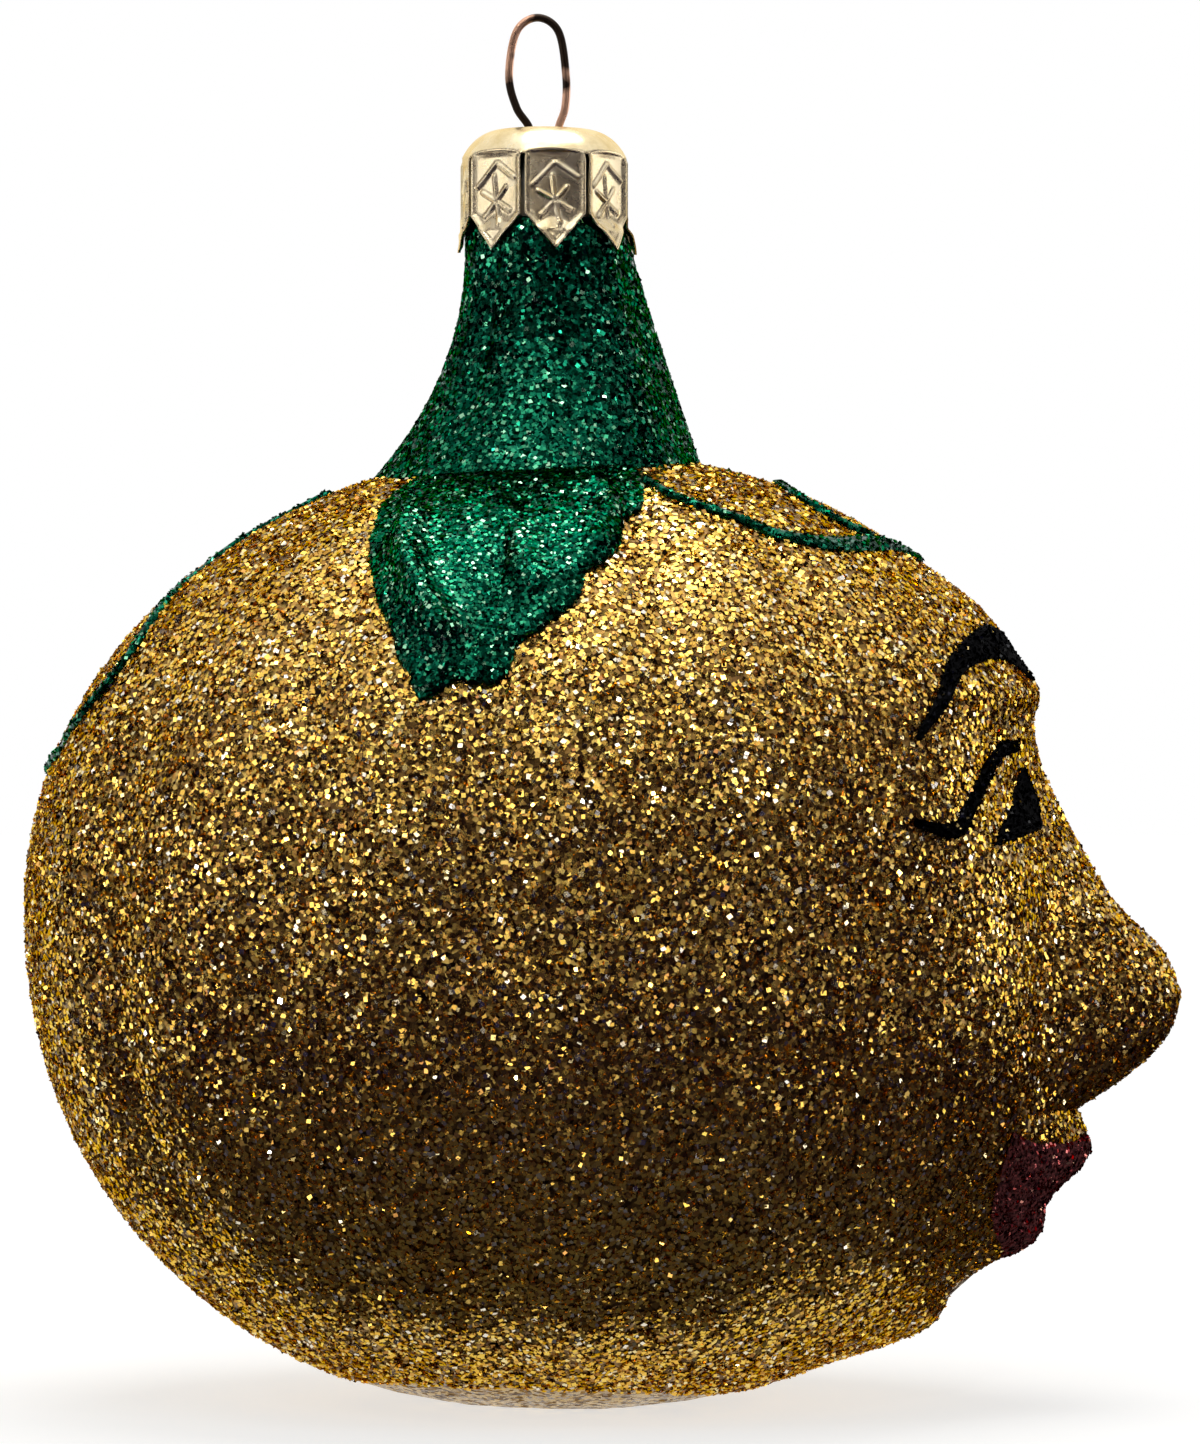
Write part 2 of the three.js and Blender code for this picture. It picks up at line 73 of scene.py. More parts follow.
# %% Face relief
BODY_FRONT, BODY_BACK, BODY_SIDE = 51.0, 52.1, 43.0
BODY_MIDDLE, BELLY = 49.5, 49.8
CROWN = {"front": 45.4, "back": 45.2}
LOBES, RIB_DEPTH = 14, 1.1
VALLEY = 90 / LOBES
SWELLINGS = [
    (0, 33, 2.2, 26, 9), (0, 24.7, 1.6, 30, 2.8), (18, 13, -2.2, 9, 6), (18, 12, 0.9, 5, 3.5),
    (27, -15, 1.2, 11, 11), (0, -5, 1.7, 5, 3.7), (0, -26.6, 3.5, 17, 15.7),
    (0, -27.2, 3.2, 13, 4.6), (0, -37.5, 3.7, 11, 4.2), (0, -51.2, 4.3, 13, 6),
]


def nose_height(away, rise):
    """The nose: a ridge that grows down to its tip as a power of the way down, rounds off under it, and
    falls to the sides as a power of a cosine."""
    down = np.clip((16.4 - rise) / 25.8, 0, 1)
    half = 9 + 7.5 * down
    under = np.clip((rise + 22.2) / 12.8, 0, 1)
    ridge = np.where(rise > -9.4, down ** 1.45, 1 - (1 - under) ** 2.1)
    inside = (rise > -22.2) & (rise < 16.4) & (away < half)
    return np.where(inside, 11.4 * ridge * np.clip(dcos(90 * away / half), 0, 1) ** 1.5, 0)


def face_relief(turn, rise):
    """How far the face stands out: the nose plus bells, each exp(-distance squared), given as turn, rise,
    height and the two reaches."""
    away = from_face(turn)
    height = nose_height(away, rise)
    for middle, level, swell, wide, tall in SWELLINGS:
        bell = np.exp(-(((away - middle) / wide) ** 2) - ((rise - level) / tall) ** 2)
        height = height + swell * bell
    return height


# %% Body surface
def body_point(turn, rise):
    """A superellipse in each upright section and an ellipse from above, less the sharp valleys between
    the ribs, plus the face, and cut flat underneath. In mm."""
    turn, rise = np.broadcast_arrays(np.asarray(turn, float), np.asarray(rise, float))
    reach = np.where(dcos(turn) > 0, BODY_FRONT, BODY_BACK)
    plan = 1 / np.hypot(dcos(turn) / reach, dsin(turn) / BODY_SIDE)
    height = np.where(rise > 0, along(turn, **CROWN), BELLY)
    power = np.where(rise > 0, along(turn, 2.3, 2.0), along(turn, 2.5, 2.13))
    far = ((dcos(rise) / plan) ** power + (np.abs(dsin(rise)) / height) ** power) ** (-1 / power)
    radius = far * dcos(rise)
    valley = 1 - np.abs(dsin((turn - VALLEY) * LOBES / 2))
    fade = np.clip((from_face(turn) - 36) / 14, 0, 1)
    ribbed = radius - RIB_DEPTH * valley * fade * np.clip(radius / 25, 0, 1)
    face = np.where(dcos(turn) > 0, face_relief(turn, rise), 0)
    level = np.maximum(BODY_MIDDLE + far * dsin(rise), 0)
    return np.stack([ribbed * dcos(turn) + face, ribbed * dsin(turn), level], -1)


def unit(vectors):
    """Vectors drawn to length one."""
    return vectors / np.maximum(np.linalg.norm(vectors, axis=-1, keepdims=True), 1e-12)


def body_frame(turn, rise):
    """Millimetres per degree of turn and of rise, and the way out, which is their cross product."""
    by_turn = body_point(turn + 0.3, rise) - body_point(turn - 0.3, rise)
    by_rise = body_point(turn, rise + 0.3) - body_point(turn, rise - 0.3)
    return by_turn / 0.6, by_rise / 0.6, unit(np.cross(by_turn, by_rise))


def over_body(turn, rise, height):
    """The body's point, moved out by a height, or in by a negative one."""
    out = body_frame(turn, np.clip(rise, -89, 89))[2]
    return body_point(turn, rise) + out * np.asarray(height, float)[..., None]


print("nose tip in mm:", body_point(0, -9.4).round(1), "widest side:", body_point(90, 0).round(1))

# %% Stem surface
STEM_TOP, STEM_TOP_R, NECK_TOP = 118.0, 7.9, 125.5
FLUTES, FLUTE_DEPTH = 7, 0.7
DENT_TURN, DENT_WIDE, DENT_DEPTH = -76, 6, 0.8


def foot_rise(turn):
    """The rise at which the body is as narrow as the foot of the stem, read off the falling radius."""
    rises = np.linspace(50, 85, 141)
    rings = body_point(np.asarray(turn)[:, None], rises[None, :])
    wide = np.hypot(rings[..., 0], rings[..., 1]) > along(turn, 15.7, 17.2)[:, None]
    return rises[wide.sum(1).clip(0, len(rises) - 1)]


def stem_point(turn, share, inset=0.0):
    """A flared tube: its radius falls from the foot's to the top's as a power of the share still to go,
    with shallow flutes and one narrow dent on the near side, and it stands where the body ends."""
    foot = body_point(turn, foot_rise(turn))
    foot_radius = np.hypot(foot[:, 0], foot[:, 1])
    taper = (1 - share) ** along(turn, 1.1, 2.3)
    flute = 1 - np.abs(dsin((turn - DENT_TURN) * FLUTES / 2))
    dent = np.exp(-(((turn - DENT_TURN) / DENT_WIDE) ** 2)) * np.clip((share - 0.35) / 0.3, 0, 1)
    radius = STEM_TOP_R + (foot_radius - STEM_TOP_R) * taper - FLUTE_DEPTH * flute * dsin(180 * share)
    radius = radius - DENT_DEPTH * (dent * dsin(180 * share)) - inset
    level = foot[:, 2] + (STEM_TOP - foot[:, 2]) * share
    return np.stack([radius * dcos(turn), radius * dsin(turn), level], -1)


def stem_radius(turn, level):
    """The stem's radius at a height, by the share of the way from its foot to its top."""
    foot_level = body_point(turn, foot_rise(turn))[:, 2]
    share = np.clip((level - foot_level) / (STEM_TOP - foot_level), 0, 1)
    return np.linalg.norm(stem_point(turn, share)[..., :2], axis=-1)


# %% [markdown]
# ## From grids to meshes
# Each piece below is a grid of points. Neighbours on the grid are joined by four-sided faces, the last
# column meets the first where the piece goes all the way round, and a row can be drawn together into one
# point, a pole. That closes a piece with no loose edge. Its volume says whether its faces point outwards.

# %% Weave a grid into faces
def woven(points, around=True, ring=False, poles=(False, False)):
    """Points and faces of a grid. around joins the last column to the first, ring the last row to the
    first. poles says which of the first and last row is one point."""
    rows, columns = points.shape[:2]
    index = np.arange(rows * columns).reshape(rows, columns)
    if poles[0]:
        index[0] = index[0, 0]
    if poles[1]:
        index[-1] = index[-1, 0]
    if ring:
        index = np.vstack([index, index[:1]])
    if around:
        index = np.hstack([index, index[:, :1]])
    quads = np.stack([index[:-1, :-1], index[:-1, 1:], index[1:, 1:], index[1:, :-1]], -1).reshape(-1, 4)
    low, high = quads[:, 0] == quads[:, 1], quads[:, 2] == quads[:, 3]
    tris = np.concatenate([quads[low][:, [0, 2, 3]], quads[high][:, [0, 1, 2]]])
    quads = quads[~(low | high)]
    used = np.unique(np.concatenate([quads.ravel(), tris.ravel()]))
    place = np.zeros(rows * columns, int)
    place[used] = np.arange(len(used))
    return points.reshape(-1, 3)[used], place[quads], place[tris]


def volume(points, quads, tris):
    """Six times the signed volume: the sum over all triangles of a corner's dot with the others' cross."""
    corners = np.concatenate([quads[:, [0, 1, 2]], quads[:, [0, 2, 3]], tris])
    a, b, c = (points[corners[:, i]] for i in range(3))
    return np.einsum("ij,ij->", a, np.cross(b, c))


# %% Put a piece into the scene
def placed(name, data):
    """An object of the data, linked to the scene."""
    thing = bpy.data.objects.new(name, data)
    bpy.context.scene.collection.objects.link(thing)
    return thing


def make_piece(name, shape, finish, body="ornament", stands_for=(), smooth=True):
    """A mesh object from points in mm with four- and three-sided faces, turned outwards, that rides on a
    body of the frame and stands for the CAD nodes named."""
    points, quads, tris = shape
    if volume(points, quads, tris) < 0:
        quads, tris = quads[:, ::-1], tris[:, ::-1]
    corners = np.concatenate([quads.ravel(), tris.ravel()])
    starts = np.concatenate([np.arange(len(quads)) * 4, len(quads) * 4 + np.arange(len(tris)) * 3])
    mesh = bpy.data.meshes.new(name)
    mesh.vertices.add(len(points))
    mesh.vertices.foreach_set("co", (points * MM).astype(np.float32).ravel())
    mesh.loops.add(len(corners))
    mesh.loops.foreach_set("vertex_index", corners.astype(np.int32))
    mesh.polygons.add(len(starts))
    mesh.polygons.foreach_set("loop_start", starts.astype(np.int32))
    mesh.update(calc_edges=True)
    mesh.validate()
    if smooth:
        mesh.shade_smooth()
    else:
        mesh.shade_flat()
    mesh.materials.append(finish)
    piece = placed(name, mesh)
    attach(piece, body)
    if stands_for:
        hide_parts(*stands_for)
    print(name, "triangles:", 2 * len(quads) + len(tris))
    return piece


# %% [markdown]
# ## Finishes
# Glitter is cut metal foil. Each flake is a tiny mirror with a colour of its own, and it lies in the glue
# a little askew, so that one flake flashes while its neighbour stays dark. Two things make that here: a bed
# whose pattern of cells gives each cell its own tint and tilt, and on top of it real flakes as geometry.
# The bed's effect serves gold and green alike, so it is one node group, which puts out a colour, a
# roughness and a normal, while the shader stays in each material.

# %% Small helpers for nodes
def put(tree, kind, settings=None, **sockets):
    """A node of a kind with its settings. Its sockets, named or numbered as in _0, are given a value or
    linked to another socket."""
    node = tree.nodes.new(kind)
    node.location.x = 200 * len(tree.nodes)
    for key, value in (settings or {}).items():
        setattr(node, key, value)
    for key, value in sockets.items():
        socket = node.inputs[int(key[1:])] if key[0] == "_" else node.inputs[key.replace("_", " ")]
        if isinstance(value, bpy.types.NodeSocket):
            tree.links.new(value, socket)
        else:
            socket.default_value = value
    return node


def new_finish(name):
    """A material with an empty node tree."""
    finish = bpy.data.materials.new(name)
    finish.use_nodes = True
    finish.node_tree.nodes.clear()
    return finish, finish.node_tree


def surfaced(finish, shader):
    """The material, with a shader as its surface."""
    put(finish.node_tree, "ShaderNodeOutputMaterial", Surface=shader.outputs[0])
    return finish


def principled(finish, **sockets):
    """The material, with one Principled shader as its surface."""
    return surfaced(finish, put(finish.node_tree, "ShaderNodeBsdfPrincipled", **sockets))


# %% Helpers for values and colours
def maths(tree, operation, *values, kind="ShaderNodeMath"):
    """What an operation makes of its values."""
    sockets = {f"_{number}": value for number, value in enumerate(values)}
    return put(tree, kind, {"operation": operation}, **sockets).outputs[0]


def spread(tree, value, first, last, low=0.0, high=1.0):
    """A value that goes from first to last while the given one goes from low to high."""
    return put(tree, "ShaderNodeMapRange", Value=value, _1=low, _2=high, _3=first, _4=last).outputs[0]


def kept(tree, key):
    """A number that is kept on the points of a piece."""
    return put(tree, "ShaderNodeAttribute", {"attribute_name": key}).outputs["Fac"]


def place_in(tree):
    """Object coordinates, in metres."""
    return put(tree, "ShaderNodeTexCoord").outputs["Object"]


def noise(tree, scale, detail, rough=0.5):
    """Clouded noise, of so many waves per metre."""
    return put(tree, "ShaderNodeTexNoise", Vector=place_in(tree), Scale=scale, Detail=detail,
               Roughness=rough).outputs["Fac"]


def blend(tree, factor, first, second):
    """The mix of two colours by a factor."""
    return put(tree, "ShaderNodeMix", {"data_type": "RGBA"}, _0=factor, _6=first, _7=second).outputs[2]


def stepped(tree, value, stops):
    """A colour ramp through stops of place and colour."""
    ramp = put(tree, "ShaderNodeValToRGB", Fac=value)
    first, last = ramp.color_ramp.elements[0], ramp.color_ramp.elements[1]
    first.position, first.color = stops[0][0], (*stops[0][1], 1)
    last.position, last.color = stops[-1][0], (*stops[-1][1], 1)
    for place, colour in stops[1:-1]:
        ramp.color_ramp.elements.new(place).color = (*colour, 1)
    return ramp.outputs["Color"]


# %% Glitter bed group
def glitter_bed_group():
    """Cells of flake size. A cell's random colour gives its tint, its roughness and a normal that leans
    by up to the tilt: normal of (surface normal + tilt x (random - half))."""
    group = bpy.data.node_groups.new("Glitter bed", "ShaderNodeTree")
    for way, kinds in {
        "INPUT": {"Cells per metre": "Float", "Tilt": "Float", "Deep": "Color", "Mid": "Color",
                  "Light": "Color"},
        "OUTPUT": {"Colour": "Color", "Roughness": "Float", "Normal": "Vector"},
    }.items():
        for socket, kind in kinds.items():
            group.interface.new_socket(name=socket, in_out=way, socket_type=f"NodeSocket{kind}")
    given = put(group, "NodeGroupInput").outputs
    cells = put(group, "ShaderNodeTexVoronoi", Vector=place_in(group), Scale=given["Cells per metre"])
    cell = cells.outputs["Color"]
    parts = put(group, "ShaderNodeSeparateColor", Color=cell).outputs
    lower = blend(group, parts[0], given["Deep"], given["Mid"])
    colour = blend(group, maths(group, "GREATER_THAN", parts[1], 0.62), lower, given["Light"])
    vectors = "ShaderNodeVectorMath"
    askew = maths(group, "SUBTRACT", cell, (0.5, 0.5, 0.5), kind=vectors)
    leaning = put(group, vectors, {"operation": "SCALE"}, _0=askew, Scale=given["Tilt"]).outputs[0]
    surface = put(group, "ShaderNodeNewGeometry").outputs["Normal"]
    total = maths(group, "ADD", leaning, surface, kind=vectors)
    put(group, "NodeGroupOutput", Colour=colour, Roughness=spread(group, parts[2], 0.15, 0.35),
        Normal=maths(group, "NORMALIZE", total, kind=vectors))
    return group


glitter_bed = glitter_bed_group()


def bed_finish(name, *tones):
    """Glue with small flakes in it: metal whose colour, roughness and normal come cell by cell."""
    finish, tree = new_finish(name)
    deep, mid, light = ((*tone, 1) for tone in tones)
    cells = put(tree, "ShaderNodeGroup", {"node_tree": glitter_bed}, Deep=deep, Mid=mid, Light=light,
                Cells_per_metre=2200.0, Tilt=0.8).outputs
    return principled(finish, Metallic=1.0, Base_Color=cells["Colour"], Roughness=cells["Roughness"],
                      Normal=cells["Normal"])


gold_bed = bed_finish("gold_glitter_bed", (0.06, 0.028, 0.012), (0.35, 0.2, 0.05), (0.75, 0.5, 0.12))
green_bed = bed_finish("green_glitter_bed", (0, 0.012, 0.006), (0, 0.06, 0.03), (0.01, 0.2, 0.11))
print("finishes:", gold_bed.name, green_bed.name)


# %% Loose flake finish
def flake_finish(name, stops, edge):
    """Foil flakes: each flake's own number, kept on its points, picks its tint and its polish. The edge
    colour is the tint at a grazing look, where bare metal would go white."""
    finish, tree = new_finish(name)
    return principled(finish, Metallic=1.0, Base_Color=stepped(tree, kept(tree, "flake"), stops),
                      Roughness=spread(tree, kept(tree, "polish"), 0.05, 0.17), Specular_Tint=(*edge, 1))


gold_foil = flake_finish("gold_foil", [
    (0, (0.3, 0.13, 0.04)), (0.1, (0.6, 0.32, 0.08)), (0.4, (0.95, 0.57, 0.1)),
    (0.8, (1, 0.71, 0.14)), (0.93, (1, 0.88, 0.52)), (1, (1, 0.96, 0.88)),
], (0.3, 0.2, 0.08))
green_foil = flake_finish("green_foil", [
    (0, (0, 0.012, 0.006)), (0.3, (0.001, 0.04, 0.022)), (0.7, (0.005, 0.11, 0.055)),
    (0.93, (0.04, 0.3, 0.15)), (1, (0.45, 0.75, 0.5)),
], (0.1, 0.4, 0.22))

# %% [markdown]
# ## Flakes as geometry
# A flake is a square of foil less than half a millimetre wide. Four corners and one point below make it a
# closed chip of six triangles, so that tens of thousands of them stay light. Random places on a grid
# surface are drawn in proportion to the area of each grid cell. Each chip has a small square of its own
# in the texture map, so that a baked colour stays sharp from one flake to the next.

# %% Scatter places and cut flakes
rng = np.random.default_rng(7)


def scatter(points, count):
    """Random places on a grid surface, evenly by area, with the way out: the cross product of a cell's
    two diagonals."""
    a, b, c, d = points[:-1, :-1], points[:-1, 1:], points[1:, 1:], points[1:, :-1]
    out = np.cross(c - a, d - b).reshape(-1, 3)
    area = np.linalg.norm(out, axis=1)
    pick = rng.choice(len(area), count, p=area / area.sum())
    u, v = rng.random((2, count, 1))
    a, b, c, d = (corner.reshape(-1, 3)[pick] for corner in (a, b, c, d))
    place = (a * (1 - u) + b * u) * (1 - v) + (d * (1 - u) + c * u) * v
    return place, unit(out[pick])


def scatter_over(points, count):
    """The same for a form on the body, whose way out leads away from the body's middle."""
    places, outs = scatter(points, count)
    return places, outs * np.sign(np.einsum("ij,ij->i", outs, places - [0, 0, BODY_MIDDLE]))[:, None]


def flakes(name, places, outs, finish, size=0.41, tilt=19, lift=0.1, floor=None, painted_light=0.0):
    """Chips at the places: squares of about the size, most leaning by few degrees and some by many, with
    a fifth point below. A painted light over zero favours the bright tints, as a painted highlight, one
    under zero the dark ones, as painted shade."""
    count = len(places)
    spin = unit(np.cross(outs, rng.normal(size=(count, 3))))
    lean = rng.laplace(0, tilt, (count, 1)).clip(-70, 70)
    facing = outs * dcos(lean) + spin * dsin(lean)
    a = unit(np.cross(facing, rng.normal(size=(count, 3))))
    b = np.cross(facing, a)
    half = size / 2 * rng.uniform(0.75, 1.2, (count, 1))
    wide = half * rng.uniform(0.75, 1.15, (count, 1))
    middle = places + outs * (lift + rng.uniform(-0.06, 0.1, (count, 1)))
    corners = [middle + a * wide + b * half, middle - a * wide + b * half,
               middle - a * wide - b * half, middle + a * wide - b * half, middle - facing * size * 0.35]
    points = np.stack(corners, 1).reshape(-1, 3)
    if floor is not None:
        points[:, 2] = np.maximum(points[:, 2], floor)
    first = np.arange(count)[:, None] * 5
    quads = first + np.array([[0, 1, 2, 3]])
    sides = (first[:, :, None] + np.array([[[1, 0, 4], [2, 1, 4], [3, 2, 4], [0, 3, 4]]])).reshape(-1, 3)
    piece = make_piece(name, (points, quads, sides), finish, smooth=False)
    for key, power in (("flake", 1 / (1 + painted_light)), ("polish", 1)):
        layer = piece.data.attributes.new(key, "FLOAT", "POINT")
        layer.data.foreach_set("value", np.repeat(rng.random(count) ** power, 5).astype(np.float32))
    lay_out_flakes(piece.data, count)
    return piece


def lay_out_flakes(mesh, count):
    """A texture map of small squares: a flake's face fills one, and its four sides, which meet in the
    middle, fill the next."""
    across = int(np.ceil(np.sqrt(2 * count)))
    cell = np.arange(2 * count)
    origin = np.stack([cell % across, cell // across], 1) / across
    square = np.array([[1, 1], [0, 1], [0, 0], [1, 0]], float)
    inner = 0.12 + 0.76 * square
    faces = origin[0::2, None] + inner[None] / across
    fans = np.stack([inner[[1, 0]], inner[[2, 1]], inner[[3, 2]], inner[[0, 3]]])
    tips = np.full((4, 1, 2), 0.5)
    sides = origin[1::2, None, None] + np.concatenate([fans, tips], 1)[None] / across
    layer = mesh.uv_layers.new(name="OFBake")
    layer.data.foreach_set("uv", np.concatenate([faces.ravel(), sides.ravel()]).astype(np.float32))


# %% [markdown]
# ## Gold glitter over the body
# The body is brushed with glue and rolled in gold glitter. Its bed is the body surface on a fine grid,
# whose columns fall into the valleys between the ribs so that those stay sharp, closed by an inner side
# half a millimetre further in. It stands for the CAD coat.

# %% Gold bed
COLUMNS = 28 * LOBES
turns = VALLEY + np.arange(COLUMNS) * 360 / COLUMNS
foot = foot_rise(turns)


def rises_to_foot(levels):
    """Rows of rises, the same all round up to 66 degrees, and then on to the foot of the stem."""
    rows = np.repeat(np.asarray(levels, float)[:, None], COLUMNS, 1)
    last = np.stack([66 + (foot - 66) * share for share in (0.5, 1.0)])
    return np.concatenate([rows, last])


outer_rises = rises_to_foot(np.concatenate([[-90, -84, -78, -72, -67, -64], np.linspace(-62, 66, 204)]))
under_nose = [-32, -28, -25, -23.5, -22.5, -21.5, -20, -17, -13]
inner_rises = rises_to_foot([-90, -75, -64, -56, -48, -40, *under_nose, *range(-8, 65, 8)])
gold_outer = over_body(turns[None], outer_rises, np.zeros(outer_rises.shape))
gold_outer[0] = (0, 0, 0)
gold_inner = over_body(turns[None], inner_rises, np.full(inner_rises.shape, -0.5))
gold_inner[:, :, 2] = np.maximum(gold_inner[:, :, 2], 0.5)
gold_inner[0] = (0, 0, 0.5)
make_piece("gold_bed", woven(np.concatenate([gold_outer, gold_inner[::-1]]), poles=(True, True)),
           gold_bed, stands_for=["gold_coat"])

# %% Gold flakes
closed = np.concatenate([gold_outer, gold_outer[:, :1]], 1)
for part in range(5):
    places, outs = scatter(closed[4:], 32000)
    flakes(f"gold_flakes_{part + 1}", places, outs, gold_foil, floor=0.02)

# %% [markdown]
# ## Green glitter on the stem
# The stem is the drawn-out end of the bubble. Its glitter is green and starts at the ring where the gold
# ends. The bed is a sleeve, closed at both ends, with flakes on its outer side.

# %% Stem bed and flakes
stem_turns = VALLEY + np.arange(224) * 360 / 224
shares = np.linspace(0, 1, 70)
stem_outer = np.stack([stem_point(stem_turns, share) for share in shares])
stem_inner = np.stack([stem_point(stem_turns, share, 0.5) for share in np.linspace(0, 1, 15)])
thin = 0.4 * np.clip((stem_outer[..., 2:] - 116.6) / 1.4, 0, 1)
stem_outer = stem_outer - unit(stem_outer * [1, 1, 0]) * thin
make_piece("stem_bed", woven(np.concatenate([stem_outer, stem_inner[::-1]]), ring=True),
           green_bed, stands_for=["stem_coat"])
places, outs = scatter(np.concatenate([stem_outer, stem_outer[:, :1]], 1), 17000)
turn = np.degrees(np.arctan2(places[:, 1], places[:, 0]))
# Painted shade in the dent: the flakes there are drawn to their dark tints.
dent_painted_shade = np.exp(-(((turn - DENT_TURN) / 9) ** 2)) * np.clip((places[:, 2] - 103) / 4, 0, 1)
flakes("stem_flakes", places, outs, green_foil, size=0.38, tilt=7, lift=0.06,
       painted_light=-0.75 * dent_painted_shade)

# %% [markdown]
# ## Forms laid on the body
# Leaves, vines and paint all lie on the gold. Each is the strip between two edges, which are lines of turn
# and rise. A third line in the middle carries a leaf's midrib. A section through the strip is a closed
# ring: over the top, and back underneath close to the glitter. The ends are drawn together into poles.

# %% Lines and strips on the body
def through(points, count):
    """A smooth line through points of turn and rise: the cubic whose slope at a point is half the step
    from the point before it to the point after it."""
    points = np.asarray(points, float)
    ends = np.vstack([2 * points[:1] - points[1:2], points, 2 * points[-1:] - points[-2:-1]])
    at = np.linspace(0, len(points) - 1, count)
    i = np.minimum(at.astype(int), len(points) - 2)
    f = (at - i)[:, None]
    a, b, c, d = (ends[i + k] for k in range(4))
    return b + 0.5 * f * (c - a + f * (2 * a - 5 * b + 4 * c - d + f * (3 * (b - c) + d - a)))


def straight(points, count):
    """A line with sharp corners through points, at even steps of its length."""
    points = np.asarray(points, float)
    gone = np.concatenate([[0], np.cumsum(np.hypot(*np.diff(points, axis=0).T))])
    at = np.linspace(0, gone[-1], count)
    return np.stack([np.interp(at, gone, points[:, k]) for k in range(2)], 1)


def beside(line, left, right):
    """The two edges of a brush stroke: the line moved aside by widths in mm, measured on the body."""
    by_turn, by_rise, out = body_frame(line[:, 0], line[:, 1])
    way = np.gradient(line, axis=0)
    ahead = by_turn * way[:, :1] + by_rise * way[:, 1:]
    aside = unit(np.cross(out, ahead))
    basis = np.stack([by_turn, by_rise, out], -1)
    step = np.linalg.solve(basis, aside[..., None])[..., 0][:, :2]
    share = np.linspace(0, 1, len(line))
    widths = [np.interp(share, np.linspace(0, 1, len(w)), w)[:, None] for w in (left, right)]
    return line + step * widths[0], line - step * widths[1]


def strip(left, middle, right, across):
    """Places of turn and rise from the left edge over the middle line to the right edge, and w, which
    goes from -1 to 1."""
    w = np.linspace(-1, 1, across)
    side = np.where(w[None, :, None] < 0, left[:, None], right[:, None])
    return middle[:, None] + (side - middle[:, None]) * np.abs(w)[None, :, None], w


def laid(places, height, base=0.12):
    """A closed form: its top stands at the given heights over the body, its underside at the base."""
    top = over_body(places[..., 0], places[..., 1], height)
    under = over_body(places[..., 0], places[..., 1], np.full(height.shape, base))
    return top, woven(np.concatenate([top, under[:, ::-1]], 1), poles=(True, True))


SIDES = {"right": 1, "left": -1}


def mirrored(line, hand):
    """The line on the right or, with its turns negated, on the left of the face."""
    return np.asarray(line, float) * [hand, 1]


# %% [markdown]
# ## The leaves
# A leaf lies over each side of the pumpkin as a raised form: a toothed edge, a groove for the midrib, and
# three soft ridges. It is covered in the same green glitter as the stem.

# %% Leaf shape
LEAF_LEFT = [
    (-110, 68.6), (-130, 68.5), (-134.6, 67.8), (-133.6, 65.8), (-132.2, 62), (-131, 58.6),
    (-127.4, 54.2), (-126, 51.2), (-123, 47.4), (-119.6, 44), (-116.6, 40.4), (-114, 38.2),
    (-112, 35.6), (-110.8, 33), (-108.4, 30.6), (-107.8, 28.8), (-106.6, 27.4),
]
LEAF_RIB = [
    (-92, 69), (-94, 63.2), (-95.8, 52.8), (-97.2, 44.6), (-99.6, 36.6), (-102.4, 31.5), (-106.6, 27.4),
]
LEAF_RIGHT = [
    (-70, 69.5), (-60, 69.4), (-57.4, 69), (-58.6, 67.6), (-61.6, 63.8), (-64.4, 60.2), (-66.8, 57.2),
    (-69.2, 56.2), (-72.2, 55), (-73.4, 53), (-74.8, 50.6), (-77, 48.8), (-79, 47.2), (-81.6, 46.6),
    (-82.8, 45.2), (-83.4, 42.8), (-84.8, 40.8), (-86.8, 39.6), (-88.6, 38.4), (-89.8, 37),
    (-92.2, 36.2), (-93.6, 34.8), (-94, 33), (-94.6, 31.4), (-95.6, 30.2), (-97.2, 29.4),
    (-99.2, 30.4), (-100.4, 31.2), (-101.4, 30.8), (-103, 29.4), (-104.8, 28), (-106.6, 27.4),
]
LEAF_RIDGES = [
    (2.2, 1.6, [(-118, 54), (-114.2, 47.8), (-110.2, 42.8), (-105.6, 36.6)]),
    (0.9, 1.6, [(-97, 56), (-94, 49), (-91, 43.5)]),
    (1.1, 1.6, [(-76, 62), (-74, 57.5), (-79, 50.5)]),
]


def near_line(points, wide, line):
    """A bell across a line of turn and rise: exp(-(distance / width) squared), by the nearest of its
    points on the body."""
    dots = body_point(*through(line, 24).T)
    away = np.linalg.norm(points[..., None, :] - dots, axis=-1).min(-1)
    return np.exp(-((away / wide) ** 2))


def leaf(hand):
    """Height: a dome across the leaf with three soft ridges on it, less a groove along the midrib."""
    rows = 170
    lines = [
        straight(mirrored(LEAF_LEFT, hand), rows), through(mirrored(LEAF_RIB, hand), rows),
        straight(mirrored(LEAF_RIGHT, hand), rows),
    ]
    places, w = strip(*lines, 61)
    s = np.linspace(0, 1, rows)[:, None]
    dome = np.clip(1 - np.abs(w) ** 3, 0, 1)[None] ** 0.7 * dsin(180 * s) ** 0.25
    points = body_point(places[..., 0], places[..., 1])
    ridges = sum(high * near_line(points, wide, mirrored(line, hand)) for high, wide, line in LEAF_RIDGES)
    groove = np.exp(-((w / 0.07) ** 2))[None]
    height = 0.3 + dome * (0.75 + ridges - 0.3 * groove)
    return laid(places, height)


for side, hand in SIDES.items():
    top, shape = leaf(hand)
    make_piece(f"leaf_{side}_bed", shape, green_bed, stands_for=[f"leaf_{side}"])
    places, outs = scatter_over(top, 9500)
    # Painted highlight along the first ridge (stroke), and painted shade along the far lower edge (shade).
    stroke = near_line(places, 2.6, mirrored(LEAF_RIDGES[0][2], hand))
    shade = near_line(places, 3.2, mirrored(LEAF_RIGHT[10:26], hand))
    flakes(f"leaf_{side}_flakes", places, outs, green_foil, size=0.34, tilt=9,
           lift=0.05, painted_light=2.5 * stroke - 0.55 * shade)

